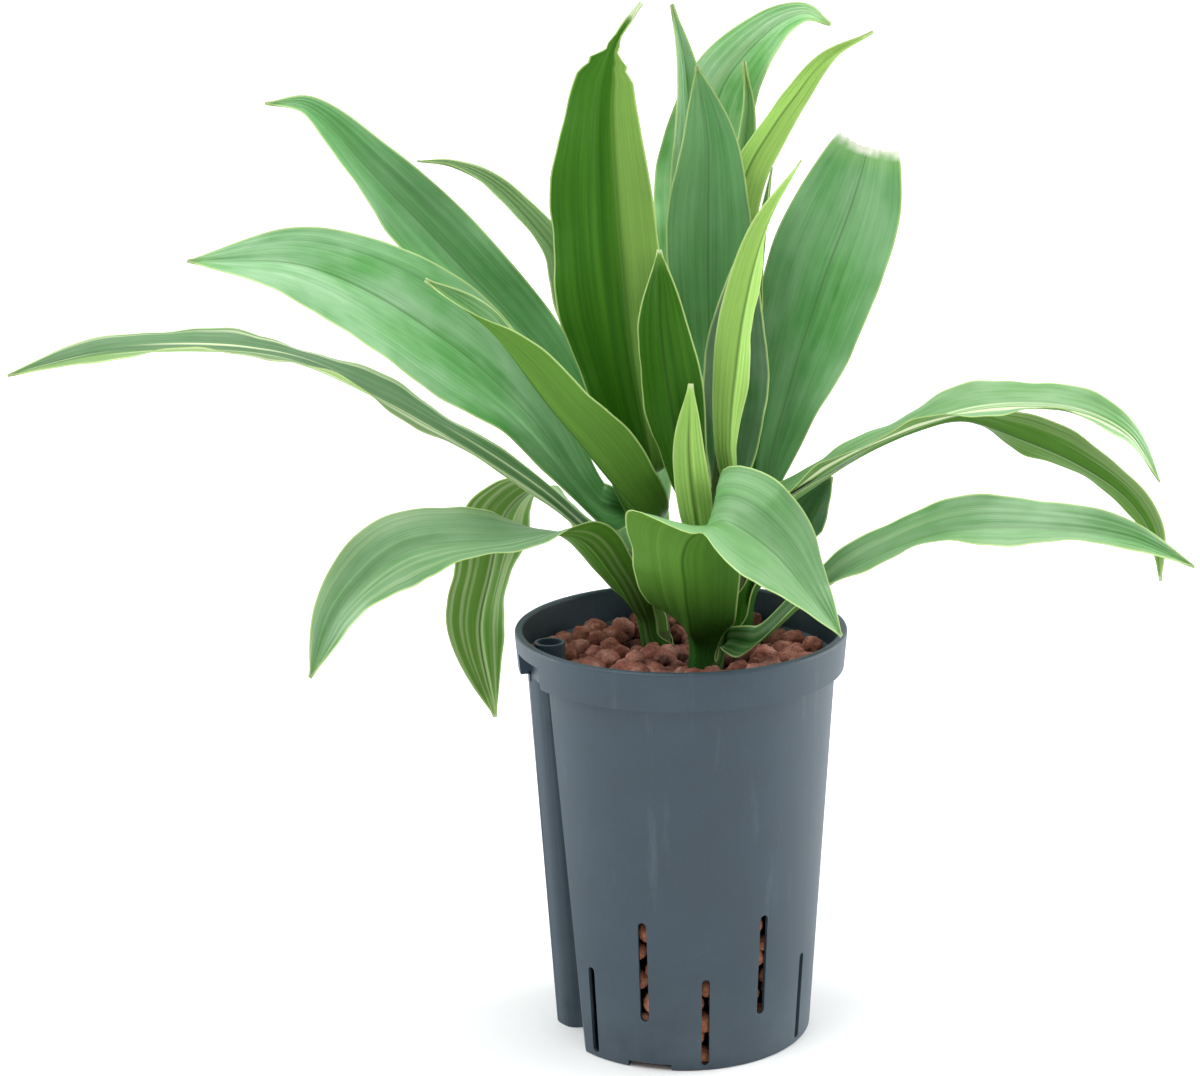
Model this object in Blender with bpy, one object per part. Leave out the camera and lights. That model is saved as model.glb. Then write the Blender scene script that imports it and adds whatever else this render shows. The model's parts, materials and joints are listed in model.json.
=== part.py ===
# A dracaena with three short shoots, growing in expanded clay in a round culture pot.
# Metres, +Z up. The origin is the middle of the pot's foot; the front is -Y, +X is right.
import math

import bmesh
import bpy
import numpy as np
from mathutils import Matrix, Vector

MM = 0.001
GAP = 0.3 * MM              # clearance between pieces that touch
SLIVER = 0.02 * MM          # points closer than this are one point
BEYOND = 5 * MM             # how far a cutter stands out of what it cuts
INWARD = 8 * MM             # how far a cutter reaches in through the pot's wall
SINK = 1 * MM               # how deep an added wall is rooted in what it joins
SHARP_ANGLE = 32            # edges steeper than this many degrees stay sharp
FLAT_ANGLE = 0.6            # faces within this many degrees are joined to one
SEED = 7

# Pot
POT_HEIGHT = 190 * MM
RIM_RADIUS = 75 * MM
BAND_HEIGHT = 17.5 * MM
BAND_RADIUS = 73.5 * MM     # at the band's lower edge
BAND_INNER_RADIUS = 71.2 * MM
WALL_TOP_RADIUS = 69.5 * MM
FOOT_RADIUS = 58.7 * MM
FOOT_ROUND = 1.4 * MM
BAND_EDGE = (0.4 * MM, 0.5 * MM)        # bevel under the band: inwards and upwards
# The lip's section: how far in from the rim's radius, and how far below its top
LIP_SECTION = ((0.4 * MM, 3.0 * MM), (0, 1.6 * MM), (0.5 * MM, 0.4 * MM), (1.6 * MM, 0),
               (3.4 * MM, 0.8 * MM), (3.8 * MM, 2.4 * MM))
SHOULDER = (2 * MM, 1.5 * MM)           # inside step: above and below the band's lower edge
WALL = 1.6 * MM
FLOOR = 2.0 * MM
POT_SIDES = 60
SLOT_COUNT = 7
UPPER_SLOT = dict(first=-16.5, low=23.5 * MM, high=71.5 * MM, width=4.0 * MM)
LOWER_SLOT = dict(first=9.5, low=2.5 * MM, high=44.5 * MM, width=3.6 * MM)
SLOT_PITCH = 360 / SLOT_COUNT
GROOVE_CLEARANCE = 19.7     # no slot within this many degrees of the groove
NOTCH_COUNT = 3
NOTCH_FIRST = -15.0
NOTCH_WIDTH = 20 * MM
NOTCH_HEIGHT = 3 * MM
NOTCH_REACH = 6 * MM

# Groove down the pot's side for a water gauge, with a socket ring at its top
GROOVE_ANGLE = -67.0
GROOVE_TOP = 171 * MM
GROOVE_TOP_HALF = 12.6 * MM
GROOVE_FOOT_HALF = 18.5 * MM
GROOVE_DEPTH = 15 * MM
# The groove's section: how deep below its mouth, and how much of its half width is left
GROOVE_SECTION = ((0, 1), (2.2 * MM, 0.60), (5 * MM, 0.46), (9 * MM, 0.40))
LIP_UNDERSIDE = 182.5 * MM
BACKING_RADIUS = 66.0 * MM
RING_ANGLE = -75.0
RING_CENTRE = 60.5 * MM
RING_RADIUS = 7.0 * MM
RING_BORE = 5.5 * MM
RING_TOP = 187.5 * MM
RING_SIDES = 20
TAB_ANGLE = -44.0
TAB_HALF_WIDTH = 2.6 * MM
TAB_REACH = 2 * MM
TAB_HEIGHTS = (186.6 * MM, 188.6 * MM)

# Expanded clay: a plain fill, and on it a bed of granules
CLAY_SIDES = 48
FILL_TOP = 166 * MM
BED_TOP = 169.5 * MM        # the bed that the uppermost granules stand out of
CLAY_LEVEL = 174.5 * MM     # mean height of the uppermost granules' centres
CLAY_DIP = 7.5 * MM         # how much lower they lie around the shoots
CLAY_DIP_REACH = (10 * MM, 28 * MM)
GAUGE_SIDE = 55.2 * MM      # the bed of granules stops at this distance towards the socket
GRANULE_PITCH = 13.0 * MM
ROW_CLOSENESS = 0.87        # distance between rows as a share of the pitch
GRANULE_JITTER = 1.6 * MM
HEAP_JITTER = 2.0 * MM
GRANULE_SMALLEST = 5.8 * MM
GRANULE_LARGEST = 8.0 * MM
GRANULE_SQUASH = 0.12       # how much a granule's three axes differ from its radius
GRANULE_INSIDE = 0.35       # centres stay this share of a radius away from the wall

# Shoots: where each one leaves the clay, and its tip
CLAY_TOP = 175 * MM
STEM_ROOT = 95 * MM         # height of the rooted end inside the clay
STEM_BASE_RADIUS = 6.8 * MM
STEM_TIP_RADIUS = 4.0 * MM
STEM_SIDES = 14
STEM_RINGS = 3
STEM_POINT = 2 * MM         # height of the low cone that ends a shoot
STEMS = {
    "left": ((-11, 29, 175), (-20, 33, 278)),
    "front": ((11, -5, 175), (20, 0, 274)),
    "back": ((25, 32, 175), (30, 36, 286)),
}

# Leaf blades
BLADE = 0.8 * MM
TIP_WIDTH = 1.2 * MM
FOLD_RADIUS = 5 * MM        # how tightly a blade is creased along its midrib
HUG_LENGTH = 7 * MM         # length of the clasping base
HUG_OPENING = 1.3 * MM      # how far it leans off the shoot over that length
CUT_DEPTH = 3 * MM          # how far a cut end is hollowed between its corners
BASE_BLEND = 30 * MM        # length over which the clasping base opens out
BASE_WRAP = 50              # degrees that each half of a clasping base goes round its shoot
NECK_SHARE = 0.42           # half width at the neck: this share of the widest half width,
NECK_EXTRA = 1.5            # and this many mm more
TAPER = (1.9, 0.95)         # powers that round the blade towards its point
FACING_PLACES = (0, 0.3, 0.65, 1)       # where along a blade its facing is given
WAVY_FROM = (0.12, 0.4)     # its edge waves grow between these places
CALM_END = (0.8, 0.6)       # past this place they fade by this share
WAVE_POWER = 2.2            # how much they keep to the blade's edge
WAVE_SHIFT = 0.9            # phase by which the two edges' waves differ from the middle
ROWS = 14
COLUMNS = 4

# Each leaf: shoot, height and bearing of its base (degrees from the front, + to the right),
# the points its midrib passes through (mm), the way its upper face looks near the base,
# at the middle and at the tip, its greatest width (mm), where along it that width comes,
# the angle that each half folds up, and its edge waves (height in mm, number, phase).
# Some also have their own wrap (degrees), half width at the neck, or width of a cut end (mm).
LEAVES = {
    "far_left": dict(
        stem="left", height=206, bearing=-85,
        route=[(-37, 28, 223), (-63, 22, 247), (-103, 12, 277), (-136, 6, 298), (-171, 0, 315),
               (-210, -6, 321), (-251, -12, 320), (-293, -20, 311)],
        facing=[(0.3, -0.3, 1), (0.1, 0, 1), (0, -0.6, 1)],
        width=36, widest=0.62, fold=15, wave=(2.5, 4.5, 0.0)),
    "broad_left": dict(
        stem="left", height=228, bearing=-90,
        route=[(-36, 18, 242), (-67, 0, 290), (-106, -12, 328), (-159, -15, 357),
               (-213, -10, 359)],
        facing=[(0.4, -0.8, 0.7), (0.1, -1, 0.6), (0, -0.8, 0.8)],
        width=52, widest=0.55, fold=12, wave=(2.5, 3.5, 1.0)),
    "upper_left": dict(
        stem="left", height=248, bearing=-119,
        route=[(-36, 42, 265), (-62, 50, 307), (-98, 52, 347), (-138, 50, 391), (-164, 46, 419),
               (-184, 42, 422)],
        facing=[(0.5, -1, 0.3), (0.4, -1, 0.4), (0.2, -0.6, 0.8)],
        width=37, widest=0.55, fold=22, wave=(2.0, 4.0, 2.0)),
    "small_left": dict(
        stem="left", height=238, bearing=-153,
        route=[(-34, 60, 272), (-45, 68, 314), (-54, 74, 343), (-68, 77, 363), (-86, 78, 381),
               (-104, 78, 390), (-120, 76, 392)],
        facing=[(0.4, -1, 0.3), (0.5, -0.5, 0.7), (0.2, -0.2, 1)],
        width=25, widest=0.5, fold=26, wave=(1.5, 3.5, 0.5)),
    "tall_left": dict(
        stem="left", height=244, bearing=2,
        route=[(-17, 14, 261), (-28, 6, 317), (-33, 2, 369), (-33, 0, 421), (-27, 2, 448),
               (-15, 4, 466)],
        facing=[(0.1, 1, 0.1), (0.2, 1, 0.1), (0.3, 1, 0.3)],
        width=50, widest=0.5, fold=14, wave=(2.5, 4.0, 0.0)),
    "folded_left": dict(
        stem="left", height=218, bearing=20,
        route=[(-17, 4, 245), (-29, -10, 267), (-50, -24, 297), (-76, -34, 332),
               (-107, -38, 354)],
        facing=[(0.8, 1, 0.4), (0.4, 0.4, 1), (0, -0.8, 1)],
        width=42, widest=0.4, fold=38, wave=(2.0, 3.0, 1.0)),
    "drooping_left": dict(
        stem="left", height=180, bearing=-40,
        route=[(-29, 4, 214), (-45, -14, 237), (-76, -34, 241), (-118, -48, 239),
               (-146, -54, 216), (-161, -54, 183)],
        facing=[(-0.2, 0.3, 1), (0, -0.7, 0.9), (-0.6, -1, 0.2)],
        width=40, widest=0.62, fold=14, wave=(2.5, 4.0, 0.5)),
    "hanging_left": dict(
        stem="left", height=186, bearing=-138,
        route=[(-38, 58, 211), (-66, 82, 237), (-84, 90, 224), (-94, 95, 191), (-99, 94, 161),
               (-91, 88, 119)],
        facing=[(0, 0.4, 1), (-0.7, 0.8, 0.4), (-0.4, 1, 0)],
        width=42, widest=0.6, fold=12, wave=(2.5, 4.0, 1.5)),
    "front_folded": dict(
        stem="front", height=178, bearing=-32,
        route=[(4, -27, 207), (2, -37, 225), (2, -45, 241), (7, -52, 253), (18, -57, 257),
               (30, -61, 250), (43, -62, 239), (56, -61, 221), (69, -59, 202)],
        facing=[(0, 1, 0.9), (0.35, -0.9, 0.6), (0.9, -0.6, 0.3)],
        width=58, widest=0.45, fold=22, wave=(3.0, 3.5, 0.0), wrap=66, neck=19),
    "lower_right": dict(
        stem="front", height=178, bearing=80,
        route=[(32, -22, 189), (53, -34, 212), (79, -44, 233), (113, -52, 248), (156, -58, 250),
               (190, -60, 245), (218, -60, 232)],
        facing=[(-0.4, -0.2, 1), (0, -0.5, 1), (0.2, -0.6, 0.8)],
        width=33, widest=0.58, fold=20, wave=(2.0, 4.0, 0.0), wrap=40),
    "arched_right": dict(
        stem="front", height=212, bearing=141,
        route=[(30, 14, 235), (54, 18, 252), (85, 16, 271), (128, 10, 288), (168, 4, 290),
               (197, 0, 278), (212, -4, 256)],
        facing=[(-0.4, 0.2, 1), (0, -0.2, 1), (0.6, -0.4, 0.7)],
        width=38, widest=0.62, fold=18, wave=(2.5, 4.0, 0.5)),
    "under_right": dict(
        stem="front", height=200, bearing=94,
        route=[(34, 8, 232), (60, 26, 249), (86, 41, 262), (111, 45, 272), (130, 40, 277),
               (154, 28, 271), (180, 22, 260), (201, 14, 246), (212, 8, 230), (215, 2, 209)],
        facing=[(-0.4, 0.2, 1), (0.3, 0.8, 1), (1, 0.6, 0.3)],
        width=34, widest=0.66, fold=10, wave=(2.0, 4.0, 2.0)),
    "short_right": dict(
        stem="back", height=190, bearing=96,
        route=[(45, 44, 211), (60, 56, 228), (71, 64, 244)],
        facing=[(-1, -0.5, 0.6), (-0.4, -0.8, 0.6), (-0.2, -0.6, 0.8)],
        width=28, widest=0.55, fold=24, wave=(1.0, 2.5, 0.0)),
    "cut_right": dict(
        stem="back", height=208, bearing=96,
        route=[(40, 48, 251), (53, 60, 296), (68, 64, 342), (80, 64, 375), (87, 62, 400)],
        facing=[(-0.8, -1, 0.2), (-0.3, -1, 0.3), (-0.2, -1, 0.3)],
        width=56, widest=0.72, fold=10, wave=(1.5, 3.0, 0.5), cut_width=30),
    "pale_right": dict(
        stem="back", height=246, bearing=176,
        route=[(20, 62, 300), (22, 66, 330), (28, 68, 369), (34, 70, 388), (44, 72, 405), (54, 74, 419),
               (69, 76, 437), (89, 76, 448)],
        facing=[(0.3, 1, 0.2), (0.6, 0.8, 0.4), (0.6, 0.4, 0.8)],
        width=20, widest=0.5, fold=24, wave=(1.5, 4.0, 1.0)),
    "sliver_right": dict(
        stem="back", height=260, bearing=80,
        route=[(35, 38, 297), (36, 44, 341), (39, 48, 369), (42, 50, 390)],
        facing=[(-1, -0.3, 0.2), (-1, -0.4, 0.2), (-1, -0.2, 0.4)],
        width=16, widest=0.5, fold=20, wave=(0.8, 3.0, 0.0)),
    "pale_front": dict(
        stem="front", height=252, bearing=40,
        route=[(21, -8, 275), (23, -11, 304), (27, -12, 337), (37, -8, 373), (53, 4, 398)],
        facing=[(-0.3, 1, 0.1), (-0.6, 1, 0.2), (-0.6, 0.4, 0.8)],
        width=20, widest=0.45, fold=30, wave=(1.0, 3.0, 0.0)),
    "sheen_right": dict(
        stem="front", height=236, bearing=150,
        route=[(23, 12, 261), (25, 18, 294), (27, 22, 330), (31, 26, 362)],
        facing=[(-0.2, -1, 0.1), (0, -1, 0.1), (0, -1, 0.2)],
        width=32, widest=0.45, fold=22, wave=(1.5, 3.0, 0.0)),
    "dark_centre": dict(
        stem="front", height=226, bearing=-58,
        route=[(3, -14, 261), (-3, -22, 299), (-7, -24, 330), (-8, -20, 363)],
        facing=[(0.3, 1, 0.2), (0.2, 1, 0.1), (0.2, 1, 0.2)],
        width=30, widest=0.58, fold=24, wave=(1.5, 3.0, 1.0)),
    "spear_front": dict(
        stem="front", height=212, bearing=-20,
        route=[(7, -26, 248), (4, -30, 278), (5, -32, 307)],
        facing=[(0.1, 1, 0.2), (0, 1, 0.2), (0, 1, 0.2)],
        width=17, widest=0.55, fold=26, wave=(0.6, 2.0, 0.0)),
    "upright_centre": dict(
        stem="back", height=262, bearing=-112,
        route=[(15, 46, 287), (14, 54, 327), (14, 57, 368), (14, 56, 402), (9, 52, 435)],
        facing=[(0.1, -1, 0.1), (0.1, -1, 0.1), (0.1, -1, 0.1)],
        width=41, widest=0.52, fold=14, wave=(1.5, 3.0, 0.0)),
    "slim_back": dict(
        stem="back", height=243, bearing=-138,
        route=[(12, 62, 281), (8, 76, 331), (7, 82, 376), (6, 84, 413), (4, 83, 435),
               (-2, 80, 461)],
        facing=[(0.2, -1, 0.2), (0.2, -1, 0.1), (0.4, -1, 0.1)],
        width=25, widest=0.45, fold=18, wave=(1.5, 3.0, 0.0)),
    "arched_back": dict(
        stem="back", height=226, bearing=-136,
        route=[(10, 78, 268), (9, 96, 332), (12, 108, 385), (22, 110, 422), (43, 108, 447),
               (59, 104, 455), (71, 98, 450)],
        facing=[(0.1, -1, 0.3), (0.1, -1, 0.2), (-0.2, -1, 0.5)],
        width=45, widest=0.55, fold=12, wave=(3.0, 4.5, 0.5)),
    "spike_back": dict(
        stem="back", height=235, bearing=-174,
        route=[(17, 68, 280), (21, 82, 311), (28, 88, 371), (33, 90, 412), (31, 90, 434)],
        facing=[(0.2, -1, 0.2), (0.2, -1, 0.1), (0.2, -1, 0.1)],
        width=20, widest=0.4, fold=24, wave=(1.0, 3.0, 0.0)),
    "rear_left": dict(
        stem="left", height=216, bearing=170,
        route=[(-16, 80, 266), (-25, 130, 308), (-31, 180, 317), (-35, 228, 291)],
        facing=[(0, -0.8, 1), (0, 0.2, 1), (0, 0.8, 0.6)],
        width=42, widest=0.55, fold=16, wave=(2.5, 4.0, 0.5)),
    "rear_right": dict(
        stem="back", height=202, bearing=-164,
        route=[(29, 72, 223), (35, 108, 252), (41, 150, 258), (45, 196, 227)],
        facing=[(0, -0.6, 1), (0, 0.2, 1), (0, 1, 0.5)],
        width=40, widest=0.55, fold=16, wave=(2.5, 4.0, 1.5)),
    "rear_low": dict(
        stem="left", height=178, bearing=-172,
        route=[(-16, 66, 197), (-22, 96, 218), (-28, 134, 212), (-30, 168, 176)],
        facing=[(0, -0.4, 1), (0, 0.3, 1), (0, 1, 0.3)],
        width=36, widest=0.55, fold=16, wave=(2.0, 3.5, 0.0)),
}

# Colours: base colour, roughness
POT_COLOUR = ((0.083, 0.115, 0.138), 0.55)
CLAY_COLOUR = ((0.150, 0.045, 0.026), 0.95)
STEM_COLOUR = ((0.055, 0.105, 0.020), 0.60)
LEAF_COLOUR = ((0.070, 0.235, 0.060), 0.42)
PALE_LEAF_COLOUR = ((0.190, 0.400, 0.070), 0.45)
PALE_LEAVES = {"pale_right", "pale_front", "spear_front", "hanging_left"}


def clear_scene():
    for item in list(bpy.data.objects):
        bpy.data.objects.remove(item, do_unlink=True)


def material(name, colour, roughness):
    made = bpy.data.materials.new(name)
    made.use_nodes = True
    shader = made.node_tree.nodes["Principled BSDF"]
    shader.inputs["Base Color"].default_value = (*colour, 1)
    shader.inputs["Roughness"].default_value = roughness
    shader.inputs["Metallic"].default_value = 0
    made.diffuse_color = (*colour, 1)
    return made


def add_object(name, mesh, finish=None, helper=False):
    made = bpy.data.objects.new(name, mesh)
    bpy.context.scene.collection.objects.link(made)
    if finish:
        mesh.materials.append(finish)
    if helper:
        made.hide_render = True
        made.display_type = "WIRE"
    return made


def finish_mesh(name, shape):
    bmesh.ops.recalc_face_normals(shape, faces=shape.faces)
    mesh = bpy.data.meshes.new(name)
    shape.to_mesh(mesh)
    shape.free()
    return mesh


def lathe(name, outline, sides):
    """Turns a list of (radius, height) points, from axis to axis, about Z."""
    shape = bmesh.new()
    corners = [shape.verts.new((radius, 0, height)) for radius, height in outline]
    edges = [shape.edges.new(pair) for pair in zip(corners, corners[1:])]
    bmesh.ops.spin(
        shape, geom=corners + edges, cent=(0, 0, 0), axis=(0, 0, 1),
        angle=math.tau, steps=sides, use_merge=True)
    bmesh.ops.remove_doubles(shape, verts=shape.verts, dist=SLIVER / 2)
    return finish_mesh(name, shape)


def rod(name, radius, low, high, sides):
    """A plain upright rod about Z."""
    return lathe(name, [(0, low), (radius, low), (radius, high), (0, high)], sides)


def loft(name, loops):
    """Joins loops of equal length into one closed solid with flat ends."""
    shape = bmesh.new()
    rings = [[shape.verts.new(point) for point in loop] for loop in loops]
    for low, high in zip(rings, rings[1:]):
        for i in range(len(low)):
            j = (i + 1) % len(low)
            shape.faces.new((low[i], low[j], high[j], high[i]))
    shape.faces.new(rings[0][::-1])
    shape.faces.new(rings[-1])
    return finish_mesh(name, shape)


def bearing(angle):
    """Unit vector at this many degrees from the front, positive to the right."""
    turn = math.radians(angle)
    return Vector((math.sin(turn), -math.cos(turn), 0))


def across(angle):
    """Unit vector a quarter turn to the right of the bearing."""
    return bearing(angle + 90)


def wall_radius(height):
    share = height / (POT_HEIGHT - BAND_HEIGHT)
    return FOOT_RADIUS + (WALL_TOP_RADIUS - FOOT_RADIUS) * share


def block(name, angle, inner, outer, half, low, high):
    """A box that lies along a bearing, from its inner to its outer radius."""
    out = bearing(angle)
    side = across(angle)
    loops = []
    for height in (low, high):
        corners = [(inner, -half), (outer, -half), (outer, half), (inner, half)]
        loops.append([out * r + side * s + Vector((0, 0, height)) for r, s in corners])
    return loft(name, loops)


def groove_solid(name, extra, low, high, outer):
    """The groove's rounded space, or with extra the space that its wall fills as well."""
    out = bearing(GROOVE_ANGLE)
    side = across(GROOVE_ANGLE)
    loops = []
    for height in (low, high):
        share = height / GROOVE_TOP
        half = GROOVE_FOOT_HALF + (GROOVE_TOP_HALF - GROOVE_FOOT_HALF) * share
        mouth = math.sqrt(wall_radius(height)**2 - half**2)
        deepest = wall_radius(height) - GROOVE_DEPTH - extra
        flank = [(outer, half + extra)]
        for depth, left in GROOVE_SECTION:
            flank.append((mouth - depth - extra * (depth > 0), half * left + extra))
        flank.append((deepest, 0.2 * half + extra))
        corners = [(r, -s) for r, s in flank] + [(r, s) for r, s in flank[::-1]]
        loops.append([out * r + side * s + Vector((0, 0, height)) for r, s in corners])
    return loft(name, loops)


def slot_cutter(name, angle, low, high, width):
    """An upright slot with round ends that cuts through the wall."""
    out = bearing(angle)
    side = across(angle)
    radius = width / 2
    outline = []
    steps = 4
    for centre, start in ((high - radius, 0), (low + radius, math.pi)):
        for i in range(steps + 1):
            turn = start + math.pi * i / steps
            outline.append((radius * math.cos(turn), centre + radius * math.sin(turn)))
    inner = wall_radius(low) - INWARD
    outer = RIM_RADIUS + BEYOND
    loops = []
    for reach in (inner, outer):
        loops.append([out * reach + side * s + Vector((0, 0, z)) for s, z in outline])
    return loft(name, loops)


def boolean(target, operation, tool=None, group=None, solver="EXACT"):
    step = target.modifiers.new(operation.lower(), "BOOLEAN")
    step.operation = operation
    step.solver = solver
    if group:
        step.operand_type = "COLLECTION"
        step.collection = group
    else:
        step.object = tool


def drop_scraps(shape):
    """Keeps the largest connected body and deletes any loose crumb beside it."""
    left = set(shape.verts)
    bodies = []
    while left:
        body = {left.pop()}
        edge_of_search = list(body)
        while edge_of_search:
            point = edge_of_search.pop()
            for edge in point.link_edges:
                other = edge.other_vert(point)
                if other in left:
                    left.remove(other)
                    body.add(other)
                    edge_of_search.append(other)
        bodies.append(body)
    bodies.sort(key=len)
    for body in bodies[:-1]:
        bmesh.ops.delete(shape, geom=list(body), context="VERTS")


def apply_modifiers(target):
    """Makes the modifiers' result the object's mesh, with its flat stretches joined."""
    graph = bpy.context.evaluated_depsgraph_get()
    mesh = bpy.data.meshes.new_from_object(target.evaluated_get(graph))
    target.modifiers.clear()
    shape = bmesh.new()
    shape.from_mesh(mesh)
    bmesh.ops.remove_doubles(shape, verts=shape.verts, dist=SLIVER)
    drop_scraps(shape)
    bmesh.ops.dissolve_limit(shape, angle_limit=math.radians(FLAT_ANGLE),
                             verts=shape.verts, edges=shape.edges)
    bmesh.ops.triangulate(shape, faces=shape.faces)
    shape.to_mesh(mesh)
    shape.free()
    before = target.data
    target.data = mesh
    bpy.data.meshes.remove(before)


def pot_outline():
    """The pot wall's section, from the middle of the foot round to the middle of the floor."""
    under_band = POT_HEIGHT - BAND_HEIGHT
    foot = FOOT_RADIUS
    return [
        (0, 0),
        (foot - FOOT_ROUND, 0),
        (foot, FOOT_ROUND),
        (WALL_TOP_RADIUS, under_band),
        (BAND_RADIUS - BAND_EDGE[0], under_band),
        (BAND_RADIUS, under_band + BAND_EDGE[1]),
        *((RIM_RADIUS - inwards, POT_HEIGHT - down) for inwards, down in LIP_SECTION),
        (BAND_INNER_RADIUS, under_band + SHOULDER[0]),
        (WALL_TOP_RADIUS - WALL, under_band - SHOULDER[1]),
        (foot - WALL, FLOOR),
        (0, FLOOR),
    ]


def make_pot(finish):
    pot = add_object("pot", lathe("pot", pot_outline(), POT_SIDES), finish)
    reach = RIM_RADIUS + BEYOND

    # The groove's wall stands inside the pot, and is trimmed half way through the pot's wall.
    half_wall = WALL / 2
    step = POT_HEIGHT - BAND_HEIGHT + SINK
    in_band = (BAND_RADIUS + BAND_INNER_RADIUS) / 2
    envelope_outline = [
        (0, FLOOR / 2),
        (FOOT_RADIUS - half_wall, FLOOR / 2),
        (wall_radius(step) - half_wall, step),
        (in_band, step),
        (in_band, LIP_UNDERSIDE + 2 * WALL),
        (0, LIP_UNDERSIDE + 2 * WALL),
    ]
    envelope = add_object("envelope", lathe("envelope", envelope_outline, POT_SIDES),
                          helper=True)
    additions = [
        groove_solid("groove_wall", WALL, FLOOR / 4, GROOVE_TOP + WALL, reach),
        block("groove_backing", GROOVE_ANGLE, BACKING_RADIUS, reach,
              GROOVE_TOP_HALF + WALL, GROOVE_TOP - SINK, LIP_UNDERSIDE + WALL),
    ]
    for mesh in additions:
        wall = add_object(mesh.name, mesh, helper=True)
        boolean(wall, "INTERSECT", envelope)
        boolean(pot, "UNION", wall)

    ring_centre = bearing(RING_ANGLE) * RING_CENTRE
    ring = rod("socket_ring", RING_RADIUS, GROOVE_TOP + WALL / 4, RING_TOP, RING_SIDES)
    ring = add_object("socket_ring", ring, helper=True)
    ring.location = ring_centre
    boolean(pot, "UNION", ring)
    tab = block("rim_tab", TAB_ANGLE, BAND_INNER_RADIUS - TAB_REACH, BAND_INNER_RADIUS + SINK,
                TAB_HALF_WIDTH, *TAB_HEIGHTS)
    boolean(pot, "UNION", add_object("rim_tab", tab, helper=True))

    cutters = bpy.data.collections.new("pot_cutters")
    meshes = [
        groove_solid("groove_space", 0, -BEYOND, GROOVE_TOP, reach),
        block("band_cutout", GROOVE_ANGLE, BACKING_RADIUS + WALL, reach,
              GROOVE_TOP_HALF, GROOVE_TOP - 2 * SINK, LIP_UNDERSIDE),
    ]
    for k in range(NOTCH_COUNT):
        angle = NOTCH_FIRST + k * 360 / NOTCH_COUNT
        meshes.append(block("foot_notch_%d" % k, angle, FOOT_RADIUS - NOTCH_REACH, reach,
                            NOTCH_WIDTH / 2, -BEYOND, NOTCH_HEIGHT))
    for label, slot in (("upper", UPPER_SLOT), ("lower", LOWER_SLOT)):
        for k in range(SLOT_COUNT):
            angle = (slot["first"] + k * SLOT_PITCH + 180) % 360 - 180
            if abs(angle - GROOVE_ANGLE) < GROOVE_CLEARANCE:
                continue
            meshes.append(slot_cutter("%s_slot_%d" % (label, k), angle, slot["low"],
                                      slot["high"], slot["width"]))
    bore = rod("socket_bore", RING_BORE, GROOVE_TOP - BEYOND, RING_TOP + BEYOND, RING_SIDES)
    bore = add_object("socket_bore", bore, helper=True)
    bore.location = ring_centre
    boolean(pot, "DIFFERENCE", bore)
    for mesh in meshes:
        cutters.objects.link(bpy.data.objects.new(mesh.name, mesh))
    boolean(pot, "DIFFERENCE", group=cutters, solver="MANIFOLD")
    apply_modifiers(pot)
    for item in list(cutters.objects):
        bpy.data.objects.remove(item, do_unlink=True)
    bpy.data.collections.remove(cutters)
    pot.data.shade_smooth()
    pot.data.set_sharp_from_angle(angle=math.radians(SHARP_ANGLE))
    return pot


def stem_line(name):
    """A shoot's lower end, its direction and its length, from the rooted end to the tip."""
    foot, tip = (Vector(point) * MM for point in STEMS[name])
    along = (tip - foot).normalized()
    root = foot - along * ((foot.z - STEM_ROOT) / along.z)
    return root, along, (tip - root).length


def stem_radius(name, height):
    root, along, length = stem_line(name)
    foot = (CLAY_TOP - root.z) / along.z
    share = min(max(((height - root.z) / along.z - foot) / (length - foot), 0), 1)
    return STEM_BASE_RADIUS + (STEM_TIP_RADIUS - STEM_BASE_RADIUS) * share


def stem_mesh(name):
    """A shoot as a rod, plain below the clay's surface and tapered above it."""
    root, along, length = stem_line(name)
    surface = (CLAY_TOP - root.z) / along.z
    outline = [(0, 0), (STEM_BASE_RADIUS, 0)]
    for i in range(STEM_RINGS + 1):
        distance = surface + (length - surface) * i / STEM_RINGS
        outline.append((stem_radius(name, root.z + along.z * distance), distance))
    outline.append((0, length + STEM_POINT))
    return lathe("stem_" + name, outline, STEM_SIDES)


def stem_hole(name):
    """The room that a shoot takes up in the clay."""
    _, _, length = stem_line(name)
    radius = STEM_BASE_RADIUS + GAP
    outline = [(0, -GAP), (radius, -GAP), (radius, length), (0, length)]
    return lathe("hole_" + name, outline, STEM_SIDES)


def place_on_stem(item, name):
    root, along, _ = stem_line(name)
    turn = Vector((0, 0, 1)).rotation_difference(along)
    item.matrix_world = Matrix.Translation(root) @ turn.to_matrix().to_4x4()


def make_stems(finish):
    for name in STEMS:
        stem = add_object("stem_" + name, stem_mesh(name), finish)
        place_on_stem(stem, name)
        stem.data.shade_smooth()


def granule(place, radius, rng):
    """One lump of expanded clay: a slightly squashed and turned twenty-sided ball."""
    shape = bmesh.new()
    squash = Matrix.Diagonal(
        (*rng.uniform(1 - GRANULE_SQUASH, 1 + GRANULE_SQUASH, 3), 1))
    turn = Matrix.Rotation(rng.uniform(0, math.tau), 4, Vector(rng.normal(size=3)))
    bmesh.ops.create_icosphere(
        shape, subdivisions=1, radius=radius,
        matrix=Matrix.Translation(place) @ turn @ squash)
    return finish_mesh("granule", shape)


def clay_height(x, y):
    """Height of the uppermost granules' centres: a level heap that dips around the shoots."""
    feet = [Vector(line[0][:2]) * MM for line in STEMS.values()]
    nearest = min((Vector((x, y)) - foot).length for foot in feet)
    return CLAY_LEVEL - CLAY_DIP * (1 - float(smooth_step(*CLAY_DIP_REACH, nearest)))


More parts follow.
